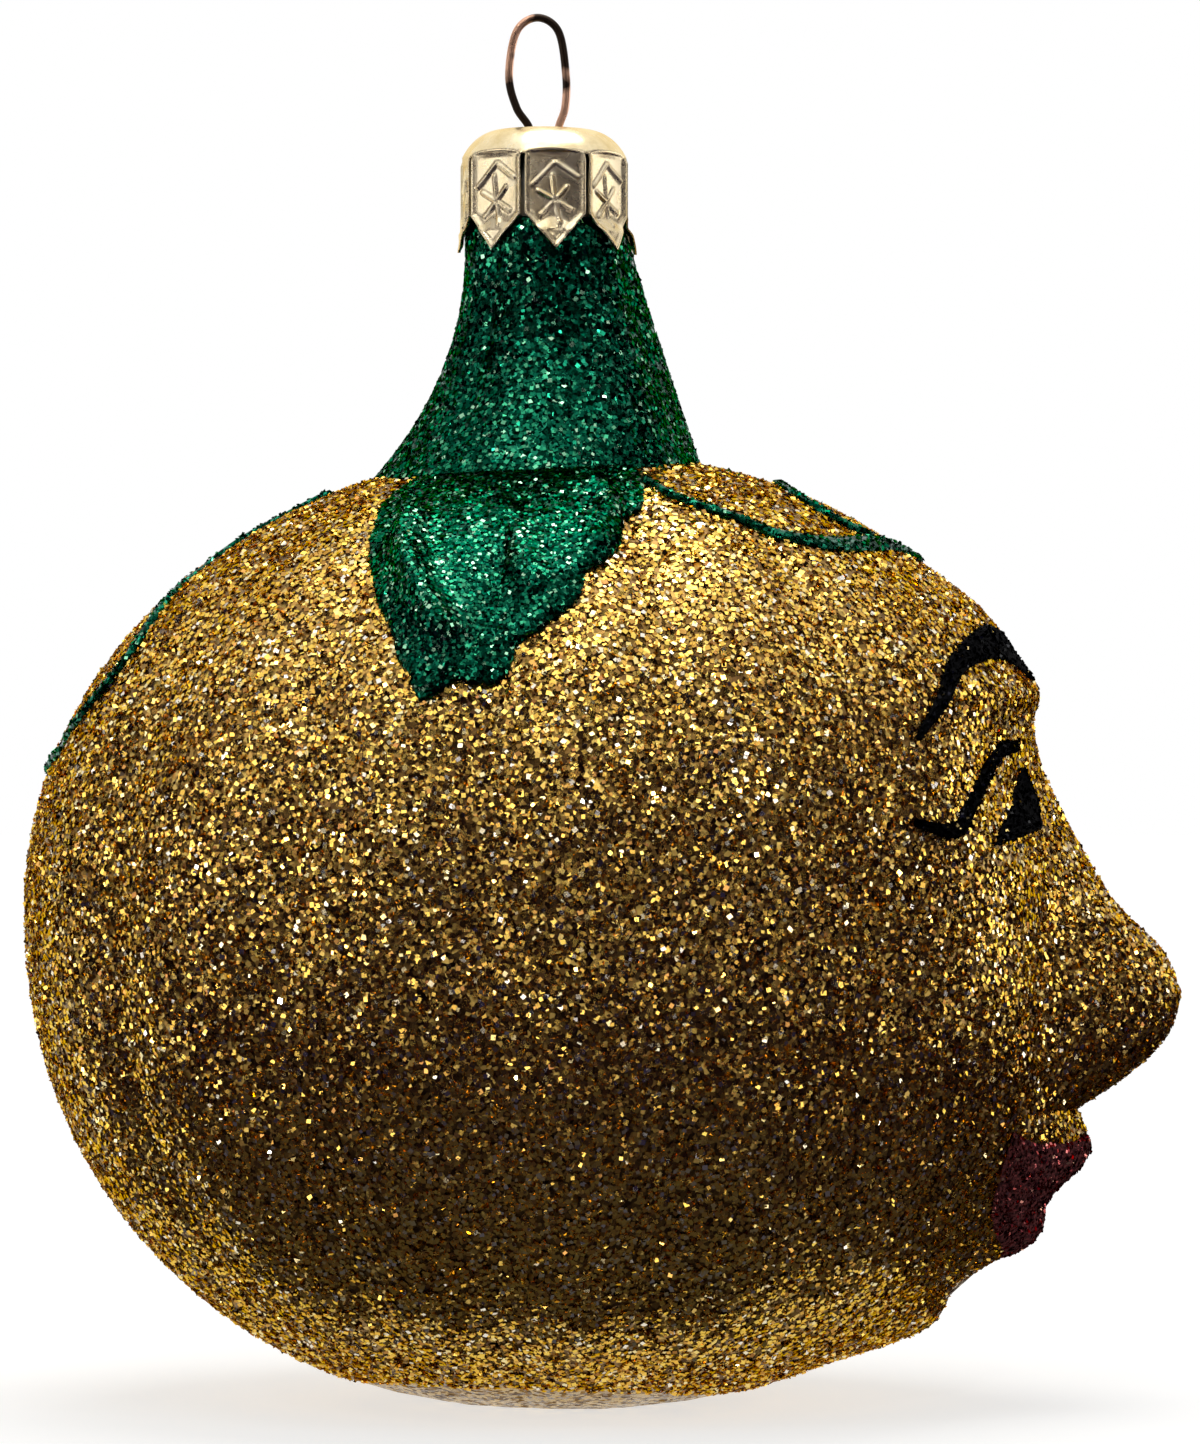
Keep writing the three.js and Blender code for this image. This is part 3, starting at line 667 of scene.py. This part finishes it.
# %% [markdown]
# ## The vines
# Thin curling vines run from the leaves over the forehead and down the back. They are drawn with a glue
# nib and strewn with green glitter, so they are low round cords with flakes along them.

# %% Vine shapes
VINES = {
    "tendril_front": (
        [(-60, 65.2), (-57.6, 59.6), (-52.6, 56.4), (-46.4, 53.2), (-42.8, 50.2), (-37.2, 48.2),
         (-30.8, 47), (-21.6, 46.6), (-10, 45.8), (-0.5, 43)],
        [0.4, 0.4, 0.5, 0.5, 0.6, 0.8, 1.1, 1.2, 1.0, 0.5], True,
    ),
    "tendril_loop": (
        [(-15, 47.5), (-19.5, 51), (-19, 55.5), (-12, 59.5), (0, 61), (12, 59.5), (19, 55.5),
         (19.5, 51), (15, 47.5)],
        [0.5, 0.55, 0.5, 0.5, 0.5, 0.5, 0.5, 0.55, 0.5], False,
    ),
    "tendril_back": (
        [(-168, 62.4), (-175, 52.6), (-174, 44.6), (-166, 38.5), (-161, 30.4), (-165, 23.2), (-174, 18.2),
         (-184, 15.1)],
        [0.3, 0.5, 0.6, 0.5, 0.5, 0.6, 0.3], False,
    ),
}


def cord_on_body(line, widths):
    """Height: a half circle across the cord, as the root of 1 - w squared."""
    left, right = beside(line, widths, widths)
    places, w = strip(left, line, right, 13)
    height = 0.15 + 0.5 * np.sqrt(np.clip(1 - w ** 2, 0, 1))[None] * np.ones((len(line), 1))
    return laid(places, height)


for vine, (points, widths, both) in VINES.items():
    for side, hand in SIDES.items() if both else [("", 1)]:
        name = f"{vine}_{side}".rstrip("_")
        top, shape = cord_on_body(through(mirrored(points, hand), 150), widths)
        make_piece(f"{name}_cord", shape, green_bed, stands_for=[name])
        places, outs = scatter_over(top, 420)
        flakes(f"{name}_flakes", places, outs, green_foil, size=0.36, lift=0.03)

# %% [markdown]
# ## Face paint
# Brows, lid lines and eyes are brushed over the glitter in black, the lips in dark red. The paint fills
# the gaps between flakes but not all of their relief, so it is a thin skin with a grainy top, out of which
# the corners of painted flakes still stand, with here and there a bare one.

# %% Paint finishes
def paint_finish(name, dark, light):
    """Brushed paint over glitter: two tones by noise at flake size, satin, with a fine bump."""
    finish, tree = new_finish(name)
    grain = noise(tree, 2600.0, 3.0, 0.6)
    colour = blend(tree, spread(tree, grain, 0.0, 1.0, 0.42, 0.68), (*dark, 1), (*light, 1))
    bump = put(tree, "ShaderNodeBump", Height=grain, Strength=0.5, Distance=0.0001)
    return principled(finish, Base_Color=colour, Specular_IOR_Level=0.03, Normal=bump.outputs[0],
                      Roughness=spread(tree, noise(tree, 350.0, 2.0), 0.68, 0.92))


black_paint = paint_finish("black_paint", (0.0008, 0.0008, 0.001), (0.004, 0.004, 0.005))
red_paint = paint_finish("red_paint", (0.035, 0.011, 0.012), (0.21, 0.05, 0.05))
black_foil = flake_finish("painted_foil_black", [
    (0, (0.001, 0.001, 0.001)), (0.75, (0.006, 0.006, 0.008)), (0.96, (0.03, 0.03, 0.03)),
    (1, (0.3, 0.22, 0.08)),
], (0.05, 0.05, 0.05))
red_foil = flake_finish("painted_foil_red", [
    (0, (0.03, 0.006, 0.008)), (0.5, (0.22, 0.05, 0.055)), (0.9, (0.7, 0.22, 0.2)), (1, (1, 0.6, 0.4)),
], (0.3, 0.08, 0.08))

# %% Brush strokes
STROKES = {
    "brow": ([(-38, 20.3), (-33, 24.2), (-27, 28.3), (-20, 30.4), (-13, 31), (-7.5, 29.9), (-4, 26.8)],
             [0.3, 0.7, 1.0, 1.4, 2.0, 2.4, 1.6]),
    "lid_line": ([(-40.5, 11), (-36.8, 9.9), (-33.2, 9.9), (-29.5, 12.6), (-23.8, 15.7), (-18.8, 18.2),
                  (-14, 18.5)], [0.3, 0.6, 0.8, 0.8, 0.8, 0.8, 0.5]),
}
EYE_TOP = [(-26, 7.6), (-18.8, 11.6), (-12, 16)]
EYE_BASE = [(-26, 7.6), (-18, 8.3), (-10, 8.9), (-8.8, 12.1), (-12, 16)]
LIP_TOP = [(-20.3, -24.3), (-15, -25.7), (-9, -25.9), (-3, -25.2), (0, -25.8)]
LIP_BASE = [(-20.3, -27.4), (-18.5, -31.3), (-16, -34.1), (-11.5, -37.1), (-5.8, -39.6), (0, -40.3)]


def painted(name, edges, across, finish, foil, count):
    """Height: nearly even, thin at the edges, with a random grain of each point. Painted flakes stand out
    of it."""
    places, w = strip(*edges, across)
    shade = np.clip(1 - np.abs(w) ** 6, 0, 1)[None] ** 0.5
    height = 0.14 + 0.34 * shade + rng.normal(0, 0.07, places.shape[:2]) * shade
    top, shape = laid(places, height)
    make_piece(f"{name}_paint", shape, finish, stands_for=[name])
    spots, outs = scatter_over(top, count)
    flakes(f"{name}_flakes", spots, outs, foil, size=0.36, tilt=14, lift=-0.02)


for side, hand in SIDES.items():
    for name, (points, widths) in STROKES.items():
        line = through(mirrored(points, hand), 90)
        left, right = beside(line, widths, widths)
        painted(f"{name}_{side}", (left, line, right), 19, black_paint, black_foil, 700)
    top, base = (straight(mirrored(edge, hand), 60) for edge in (EYE_TOP, EYE_BASE))
    painted(f"eye_{side}", (top, (top + base) / 2, base), 33, black_paint, black_foil, 400)

# %% Lips
def both_halves(edge):
    """The edge of the right half of the mouth, and on over the left half."""
    half = straight(edge, 60)
    return np.concatenate([half, mirrored(half, SIDES["left"])[::-1][1:]])


upper, lower = both_halves(LIP_TOP), both_halves(LIP_BASE)
painted("lips", (upper, (upper + lower) / 2, lower), 61, red_paint, red_foil, 3500)

# %% [markdown]
# ## The glass
# Under its coats the ornament is a thin glass bubble, silvered inside. Only the bare neck shows, when the
# cap is off. The wall is one surface from the outer bottom pole up over the rim and down to the inner one.

# %% Silvered glass
def silvered_finish():
    """Silvered glass: a mirror with a faint warm tone and clouds of tarnish, under a clear coat."""
    finish, tree = new_finish("silvered_glass")
    cloud = noise(tree, 160.0, 4.0)
    colour = stepped(tree, cloud, [(0.3, (0.62, 0.58, 0.5)), (0.6, (0.86, 0.84, 0.8))])
    return principled(finish, Metallic=1.0, Base_Color=colour, Roughness=spread(tree, cloud, 0.42, 0.3),
                      Coat_Weight=0.3, Coat_Roughness=0.1)


def bubble(inset, columns=168):
    """Rings of the body, the stem and the neck, some way inside the outer surface."""
    around = VALLEY + np.arange(columns) * 360 / columns
    ends = foot_rise(around)
    levels = [np.full(columns, level) for level in (-90, -75, -64, *np.linspace(-56, 62, 40))] + [ends]
    body = np.stack([over_body(around, level, np.full(columns, -inset)) for level in levels])
    body[:, :, 2] = np.maximum(body[:, :, 2], inset)
    body[0] = (0, 0, inset)
    stem_shares = (0.06, 0.12, 0.2, 0.3, 0.45, 0.6, 0.8, 1)
    stem = np.stack([stem_point(around, share, inset) for share in stem_shares])
    neck = stem[-1:].copy()
    neck[..., 2] = NECK_TOP
    return np.concatenate([body, stem, neck])


GLASS_INSET, GLASS_WALL = 0.8, 1.0
glass_wall = np.concatenate([bubble(GLASS_INSET), bubble(GLASS_INSET + GLASS_WALL)[::-1]])
make_piece("blown_glass", woven(glass_wall, poles=(True, True)), silvered_finish(),
           stands_for=["glass_shell"])

# %% [markdown]
# ## The crown cap
# The cap is drawn and stamped from thin sheet: a domed top with two holes for the wire, and a skirt slit
# into eight pointed tabs. Each tab is a flat facet with a stamped rim, a peak of two bars and a star of
# six rays. One grid makes the sheet. The faces in the slits are left out, the stamping moves points in
# and out, and a Solidify modifier gives the sheet its thickness.

# %% Cap metal
def cap_finish():
    """Pale gold lacquered sheet: clouded tone, painted shade on the tabs' flat between the raised stamped
    lines, drawn scratches.
    """
    finish, tree = new_finish("cap_metal")
    cloud = noise(tree, 420.0, 5.0, 0.6)
    tone = stepped(tree, cloud, [(0.3, (0.8, 0.64, 0.36)), (0.7, (1.0, 0.88, 0.62))])
    # Painted shade: the number kept as stamped takes the tone part way to dark brown.
    colour = blend(tree, kept(tree, "stamped"), tone, (0.16, 0.1, 0.05, 1))
    bump = put(tree, "ShaderNodeBump", Height=noise(tree, 1500.0, 3.0), Strength=0.25, Distance=0.00006)
    return principled(finish, Metallic=1.0, Base_Color=colour, Roughness=spread(tree, cloud, 0.18, 0.36),
                      Normal=bump.outputs[0], Specular_Tint=(1, 0.85, 0.55, 1))


# %% Stamped sheet
CAP_TOP = 127.33
CAP_R, FACET, DISC, DOME, SHEET = 8.4, 7.98, 4.25, 0.2, 0.3
TABS, TAB_TURN, TAB_COLUMNS = 8, 8.5 - 90, 50
SLIT_TOP, TIP, POINT = CAP_TOP - 3.2, CAP_TOP - 12.6, 3.5
STAR_AT, STAR_HUB = 4.8, 0.3
STAR_RAYS = [(98, 2.5), (44, 1.9), (155, 2.2), (222, 2.2), (283, 2.3), (333, 2.2)]
LEG_X, HOLE_R, HOLE_EDGE = 1.45, 0.62, 0.7


def bar(x, y, start, end, wide):
    """A stamped bar: a bell across the line from start to end, by the distance to the nearest point."""
    (x0, y0), (x1, y1) = start, end
    length = np.hypot(x1 - x0, y1 - y0)
    share = np.clip(((x - x0) * (x1 - x0) + (y - y0) * (y1 - y0)) / length ** 2, 0, 1)
    away = np.hypot(x - x0 - share * (x1 - x0), y - y0 - share * (y1 - y0))
    return np.exp(-((away / wide) ** 2))


def stamping(x, y, half, point):
    """Relief of a tab in mm, x across and y up from its tip: the rim along its sides and point, two bars
    that meet in a peak, and under it a star of six uneven rays."""
    rim = np.maximum(bar(x, y, (-half, point), (0, 0.25), 0.3), bar(x, y, (0, 0.25), (half, point), 0.3))
    rim = np.maximum(rim, np.exp(-(((half - np.abs(x)) / 0.22) ** 2)) * (y > point))
    peak = np.maximum(bar(x, y, (-2.6, 6.3), (-0.1, 8.5), 0.2), bar(x, y, (0.2, 8.5), (2.6, 7.1), 0.2))
    star = 0
    for angle, length in STAR_RAYS:
        hub, tip = ((far * dcos(angle), STAR_AT + far * dsin(angle)) for far in (STAR_HUB, length))
        star = np.maximum(star, bar(x, y, hub, tip, 0.19))
    return 0.2 * rim + 0.26 * np.maximum(peak, star)


def crown_cap():
    """Radius and height of the sheet: a shallow dome, by the square of the radius, the shoulder as an arc
    of sixty degrees, and the skirt of flat facets, which clears the stem and flares at its tips as a power
    of the way down. Also the painted shade of each point: full on the skirt's flat, none on the raised
    stamped lines, the shoulder and the top."""
    inside = np.linspace(-1, 1, TAB_COLUMNS)
    gap = 0.25 / CAP_R
    edge = np.pi / TABS - gap
    angles = (TAB_TURN * np.pi / 180 + np.arange(TABS)[:, None] * 2 * np.pi / TABS + edge * inside).ravel()
    across = np.tile(inside, TABS)
    facet = FACET / np.cos(edge * across)[None]
    edge_r = FACET + 0.14 + 0.5 * (facet - FACET)
    edge_z = CAP_TOP - 2.85 - 0.4 * (facet - FACET)
    disc_r = np.linspace(0.02, DISC, 24)[:, None] + 0 * facet
    bend = np.linspace(0, 60, 16)[1:, None]
    arc_r = DISC + (edge_r - DISC) * dsin(bend) / dsin(60)
    arc_z = CAP_TOP - DOME - (CAP_TOP - DOME - edge_z) * (1 - dcos(bend)) / 0.5
    share = np.linspace(0, 1, 72)[:, None]
    start = edge_z - 0.1
    low = TIP + POINT * np.abs(across)[None]
    skirt_z = start + (low - start) * share
    fade = np.clip((start - skirt_z) / 0.5, 0, 1)
    flare = 0.85 * np.clip((TIP + 3.8 - skirt_z) / 3.8, 0, 1) ** 1.3
    x = across[None] * np.tan(np.pi / TABS) * CAP_R * 0.97 + 0 * skirt_z
    relief = stamping(x, skirt_z - TIP, 3.25, POINT) * fade
    dish = 0.12 + 0.12 * (1 - across[None] ** 2) * fade
    clear = 0.55 - 1.3 * np.clip((skirt_z - 116.7) / 2.6, 0, 1)
    skirt_r = np.maximum(facet - dish + flare, stem_radius(np.degrees(angles), skirt_z) + clear)
    radius = np.concatenate([disc_r, arc_r, skirt_r + relief])
    level = np.concatenate([CAP_TOP - DOME * (disc_r / DISC) ** 2, arc_z, skirt_z])
    points = np.stack([radius * np.cos(angles), radius * np.sin(angles), level], -1)
    bare = np.zeros((len(disc_r) + len(arc_r), len(angles)))
    return points, np.concatenate([bare, 1 - np.clip(relief / 0.16, 0, 1)])


cap_points, cap_painted_shade = crown_cap()
points, quads, tris = woven(cap_points, poles=(True, False))
middle = points[quads].mean(1)
turn_of = np.degrees(np.arctan2(middle[:, 1], middle[:, 0])) - TAB_TURN
off_tab = np.abs((turn_of + 180 / TABS) % (360 / TABS) - 180 / TABS)
in_slit = (middle[:, 2] < SLIT_TOP) & (off_tab > 180 / TABS - 0.6)
hole = np.zeros(len(quads), bool)
for side in (-1, 1):
    centre = np.array([LEG_X * side, 0.0])
    near = np.hypot(*(points[:, :2] - centre).T)
    hole |= (np.hypot(*(middle[:, :2] - centre).T) < HOLE_R) & (middle[:, 2] > CAP_TOP - 0.5)
    pushed = (near < HOLE_EDGE) & (near > HOLE_EDGE / 2) & (points[:, 2] > CAP_TOP - 0.5)
    points[pushed, :2] = centre + (points[pushed, :2] - centre) / near[pushed, None] * HOLE_EDGE
quads = quads[~(in_slit | hole)]
cap = make_piece("stamped_cap", (points, quads, tris), cap_finish(), body="cap",
                 stands_for=["crown_cap"])
# The painted shade is kept on the points under the name stamped, at a quarter of its strength.
layer = cap.data.attributes.new("stamped", "FLOAT", "POINT")
painted_tab_shade = np.concatenate([[0.0], cap_painted_shade[1:].ravel()])
layer.data.foreach_set("value", (0.25 * painted_tab_shade).astype(np.float32))
sheet = cap.modifiers.new("sheet", "SOLIDIFY")
sheet.thickness, sheet.offset = SHEET * MM, -1.0

# %% [markdown]
# ## The wire hanger
# One piece of dark spring wire: a loop over the cap, and two legs that bow out in the neck. It is a round
# section carried along a flat curve.

# %% Wire
def wire_finish():
    """Dark bronzed wire, with painted copper highlights high on one side of the loop and low on the other:
    grain + side x height, through a ramp."""
    finish, tree = new_finish("bronzed_wire")
    spot = put(tree, "ShaderNodeSeparateXYZ", Vector=place_in(tree)).outputs
    side = spread(tree, spot["X"], 0.4, -0.4, -0.0035, 0.0022)
    high = spread(tree, spot["Z"], -1.0, 1.0, 0.1285, 0.1365)
    # Painted highlight: copper where this sum is high, set by place on the wire.
    copper_highlight = maths(tree, "MULTIPLY_ADD", side, high, noise(tree, 400.0, 2.0))
    colour = stepped(tree, copper_highlight, [(0.45, (0.03, 0.02, 0.014)), (0.62, (0.8, 0.47, 0.31))])
    return principled(finish, Metallic=1.0, Base_Color=colour, Roughness=spread(tree, copper_highlight, 0.42, 0.24))


WIRE_R, WIRE_SIDES = 0.4, 16
HALF_WIRE = [
    (4.7, -25, 0), (5.4, -21, 0), (5.0, -15, 0), (2.65, -8, 0), (LEG_X, -5, 0), (LEG_X, -2.5, 0),
    (LEG_X, 0, 0), (2.43, 2.12, -0.325), (2.85, 5.3, -0.65), (2.1, 9.7, -0.65),
]


def wire_path(count):
    """The smooth line through the leg, the loop and the other leg, in x and height over the cap."""
    left = [(-x + lean, z) for x, z, lean in HALF_WIRE]
    right = [(x + lean, z) for x, z, lean in HALF_WIRE[::-1]]
    line = through([*left, (-0.65, 11.1), *right], count)
    return np.stack([line[:, 0], np.zeros(count), line[:, 1] + CAP_TOP], 1)


path = wire_path(260)
way = unit(np.gradient(path, axis=0))
aside = np.cross(way, [0, 1.0, 0])
ring = np.linspace(0, 2 * np.pi, WIRE_SIDES, endpoint=False)[None, :, None]
tube = path[:, None] + WIRE_R * (np.cos(ring) * aside[:, None] + np.sin(ring) * [0, 1.0, 0])
ends = [path[None, at:at + 1].repeat(WIRE_SIDES, 1) for at in (0, len(path) - 1)]
tube = np.concatenate([ends[0], tube, ends[1]])
make_piece("hanger_wire", woven(tube, poles=(True, True)), wire_finish(), body="hanger",
           stands_for=["wire_hanger"])

# %% [markdown]
# ## Studio
# The ornament rests on pale paper in front of white. Foil shows mostly what it mirrors, so a photographer
# sets dark cards round the camera: the flakes that face the camera then mirror the cards and stay dark,
# but for those that catch a lamp or one of the round holes in the cards, with a bright wall behind. The
# flakes higher up and at the edges mirror white. The cards act on mirrored light only, and the camera
# does not see them.

# %% Floor
def background_seen(tree):
    """One for camera, mirrored and transmitted rays, which all see the white background."""
    rays = put(tree, "ShaderNodeLightPath").outputs
    seen = maths(tree, "MAXIMUM", rays["Is Camera Ray"], rays["Is Glossy Ray"])
    return maths(tree, "MAXIMUM", seen, rays["Is Transmission Ray"])


def glowing(tree, colour, tint, near, far, first, last):
    """A diffuse shader, and the same with a glow of its own that goes smoothly from first to last between
    two distances from the foot of the neck axis."""
    plain = put(tree, "ShaderNodeBsdfDiffuse", Color=colour).outputs[0]
    away = put(tree, "ShaderNodeVectorMath", {"operation": "LENGTH"}, _0=place_in(tree)).outputs["Value"]
    strength = put(tree, "ShaderNodeMapRange", {"interpolation_type": "SMOOTHSTEP"}, Value=away,
                   _1=near, _2=far, _3=first, _4=last).outputs[0]
    glow = put(tree, "ShaderNodeEmission", Color=tint, Strength=strength).outputs[0]
    return plain, put(tree, "ShaderNodeAddShader", _0=plain, _1=glow).outputs[0]


def floor_finish():
    """Pale paper that keeps the shadow: plain diffuse, with white of its own where it is seen."""
    finish, tree = new_finish("pale_paper")
    plain, both = glowing(tree, (0.55, 0.55, 0.54, 1), (1, 1, 1, 1), 0.1, 1.2, 0.64, 0.82)
    return surfaced(finish, put(tree, "ShaderNodeMixShader", _0=background_seen(tree), _1=plain, _2=both))


def staged(name, corners, faces, finish):
    """A flat piece of the studio."""
    mesh = bpy.data.meshes.new(name)
    mesh.from_pydata(corners, [], faces)
    mesh.materials.append(finish)
    piece = placed(name, mesh)
    return piece


staged("floor", [(-3, -3, 0), (3, -3, 0), (3, 3, 0), (-3, 3, 0)], [(0, 1, 2, 3)], floor_finish())

# %% Dark cards
def card_finish():
    """Dark card with round holes before a bright wall: a hole is where the distance to the nearest of many
    random points is small, a little wider higher up. Near the ornament the card glows, a light of its own
    seen mirrored in the foil."""
    finish, tree = new_finish("dark_card")
    place = place_in(tree)
    height = put(tree, "ShaderNodeSeparateXYZ", Vector=place).outputs["Z"]
    points = put(tree, "ShaderNodeTexVoronoi", Vector=place, Scale=7.0).outputs["Distance"]
    hole = maths(tree, "LESS_THAN", points, spread(tree, height, 0.26, 0.28, 0.0, 1.2))
    card = glowing(tree, (0.02, 0.014, 0.035, 1), (1, 0.95, 0.92, 1), 0.03, 0.13, 0.055, 0.0)[1]
    wall = put(tree, "ShaderNodeEmission", Color=(1, 0.94, 0.96, 1), Strength=2.9).outputs[0]
    return surfaced(finish, put(tree, "ShaderNodeMixShader", _0=hole, _1=card, _2=wall))


SIDE_TOP, SIDE_END, FRONT_TOP, FRONT = 0.7, 0.45, 1.45, -1.1
LYING = [(-1, 0.3), (-1, FRONT), (1, FRONT), (1, 0.9), (0.06, 0.14), (0.045, -0.02), (0, -0.029)]
cards = staged("dark_cards", [
    (-1, SIDE_END, 0), (-1, SIDE_END, SIDE_TOP), (-1, FRONT, 0), (-1, FRONT, FRONT_TOP),
    (1, FRONT, 0), (1, FRONT, FRONT_TOP), (1, SIDE_END, 0), (1, SIDE_END, SIDE_TOP),
    *((x, y, 0.0005) for x, y in LYING),
], [(0, 1, 3, 2), (2, 3, 5, 4), (4, 5, 7, 6), (8, 9, 10, 11, 12, 13, 14)], card_finish())
cards.visible_camera = cards.visible_diffuse = cards.visible_shadow = False

# %% Room light
world = bpy.data.worlds.new("studio")
bpy.context.scene.world = world
world.use_nodes = True
sky = world.node_tree
sky.nodes.clear()
room = put(sky, "ShaderNodeBackground", Color=(1, 1, 1, 1), Strength=0.35)
white = put(sky, "ShaderNodeBackground", Color=(1, 1, 1, 1), Strength=1.0)
pick = put(sky, "ShaderNodeMixShader", _0=background_seen(sky), _1=room.outputs[0],
           _2=white.outputs[0])
put(sky, "ShaderNodeOutputWorld", _0=pick.outputs[0])


def lamp(name, at, aim, size, watts):
    """A square soft lamp at a place, turned to look at another."""
    light = bpy.data.lights.new(name, "AREA")
    light.size, light.energy = size, watts
    stand = placed(name, light)
    stand.location = at
    gaze = Vector(aim) - Vector(at)
    stand.rotation_euler = gaze.to_track_quat("-Z", "Y").to_euler()
    stand.visible_camera = False


BODY_CENTRE = (0, 0, 0.06)
lamp("overhead", (0.05, 0.1, 0.85), BODY_CENTRE, 0.5, 2.6)
lamp("front_overhead", (-0.1, -0.42, 0.8), BODY_CENTRE, 0.4, 0.7)
lamp("left_window", (-0.85, -0.26, 0.2), (0, 0, 0.1), 0.3, 0.56)
lamp("right_window", (0.85, 0.26, 0.13), (0, 0, 0.12), 0.3, 0.55)
for number, at in enumerate([(0.3, -0.55, 0.7), (-0.45, -0.5, 0.6), (0.5, -0.7, 0.35), (-0.6, -0.65, 0.1)]):
    lamp(f"spark_{number + 1}", at, BODY_CENTRE, 0.05, 0.25)

# %% Camera
camera = bpy.data.cameras.new("camera")
camera.lens, camera.sensor_width = 150, 36
HALF_SEEN, AIM_X, AIM_Z = 0.0722, 0.0056, 0.068
stand = placed("camera", camera)
stand.location = (AIM_X, -HALF_SEEN * camera.lens / (camera.sensor_width / 2), AIM_Z)
stand.rotation_euler = (np.pi / 2, 0, 0)
camera.clip_start, camera.clip_end = 0.01, 20
bpy.context.scene.camera = stand
bpy.context.scene.view_settings.view_transform = "Standard"
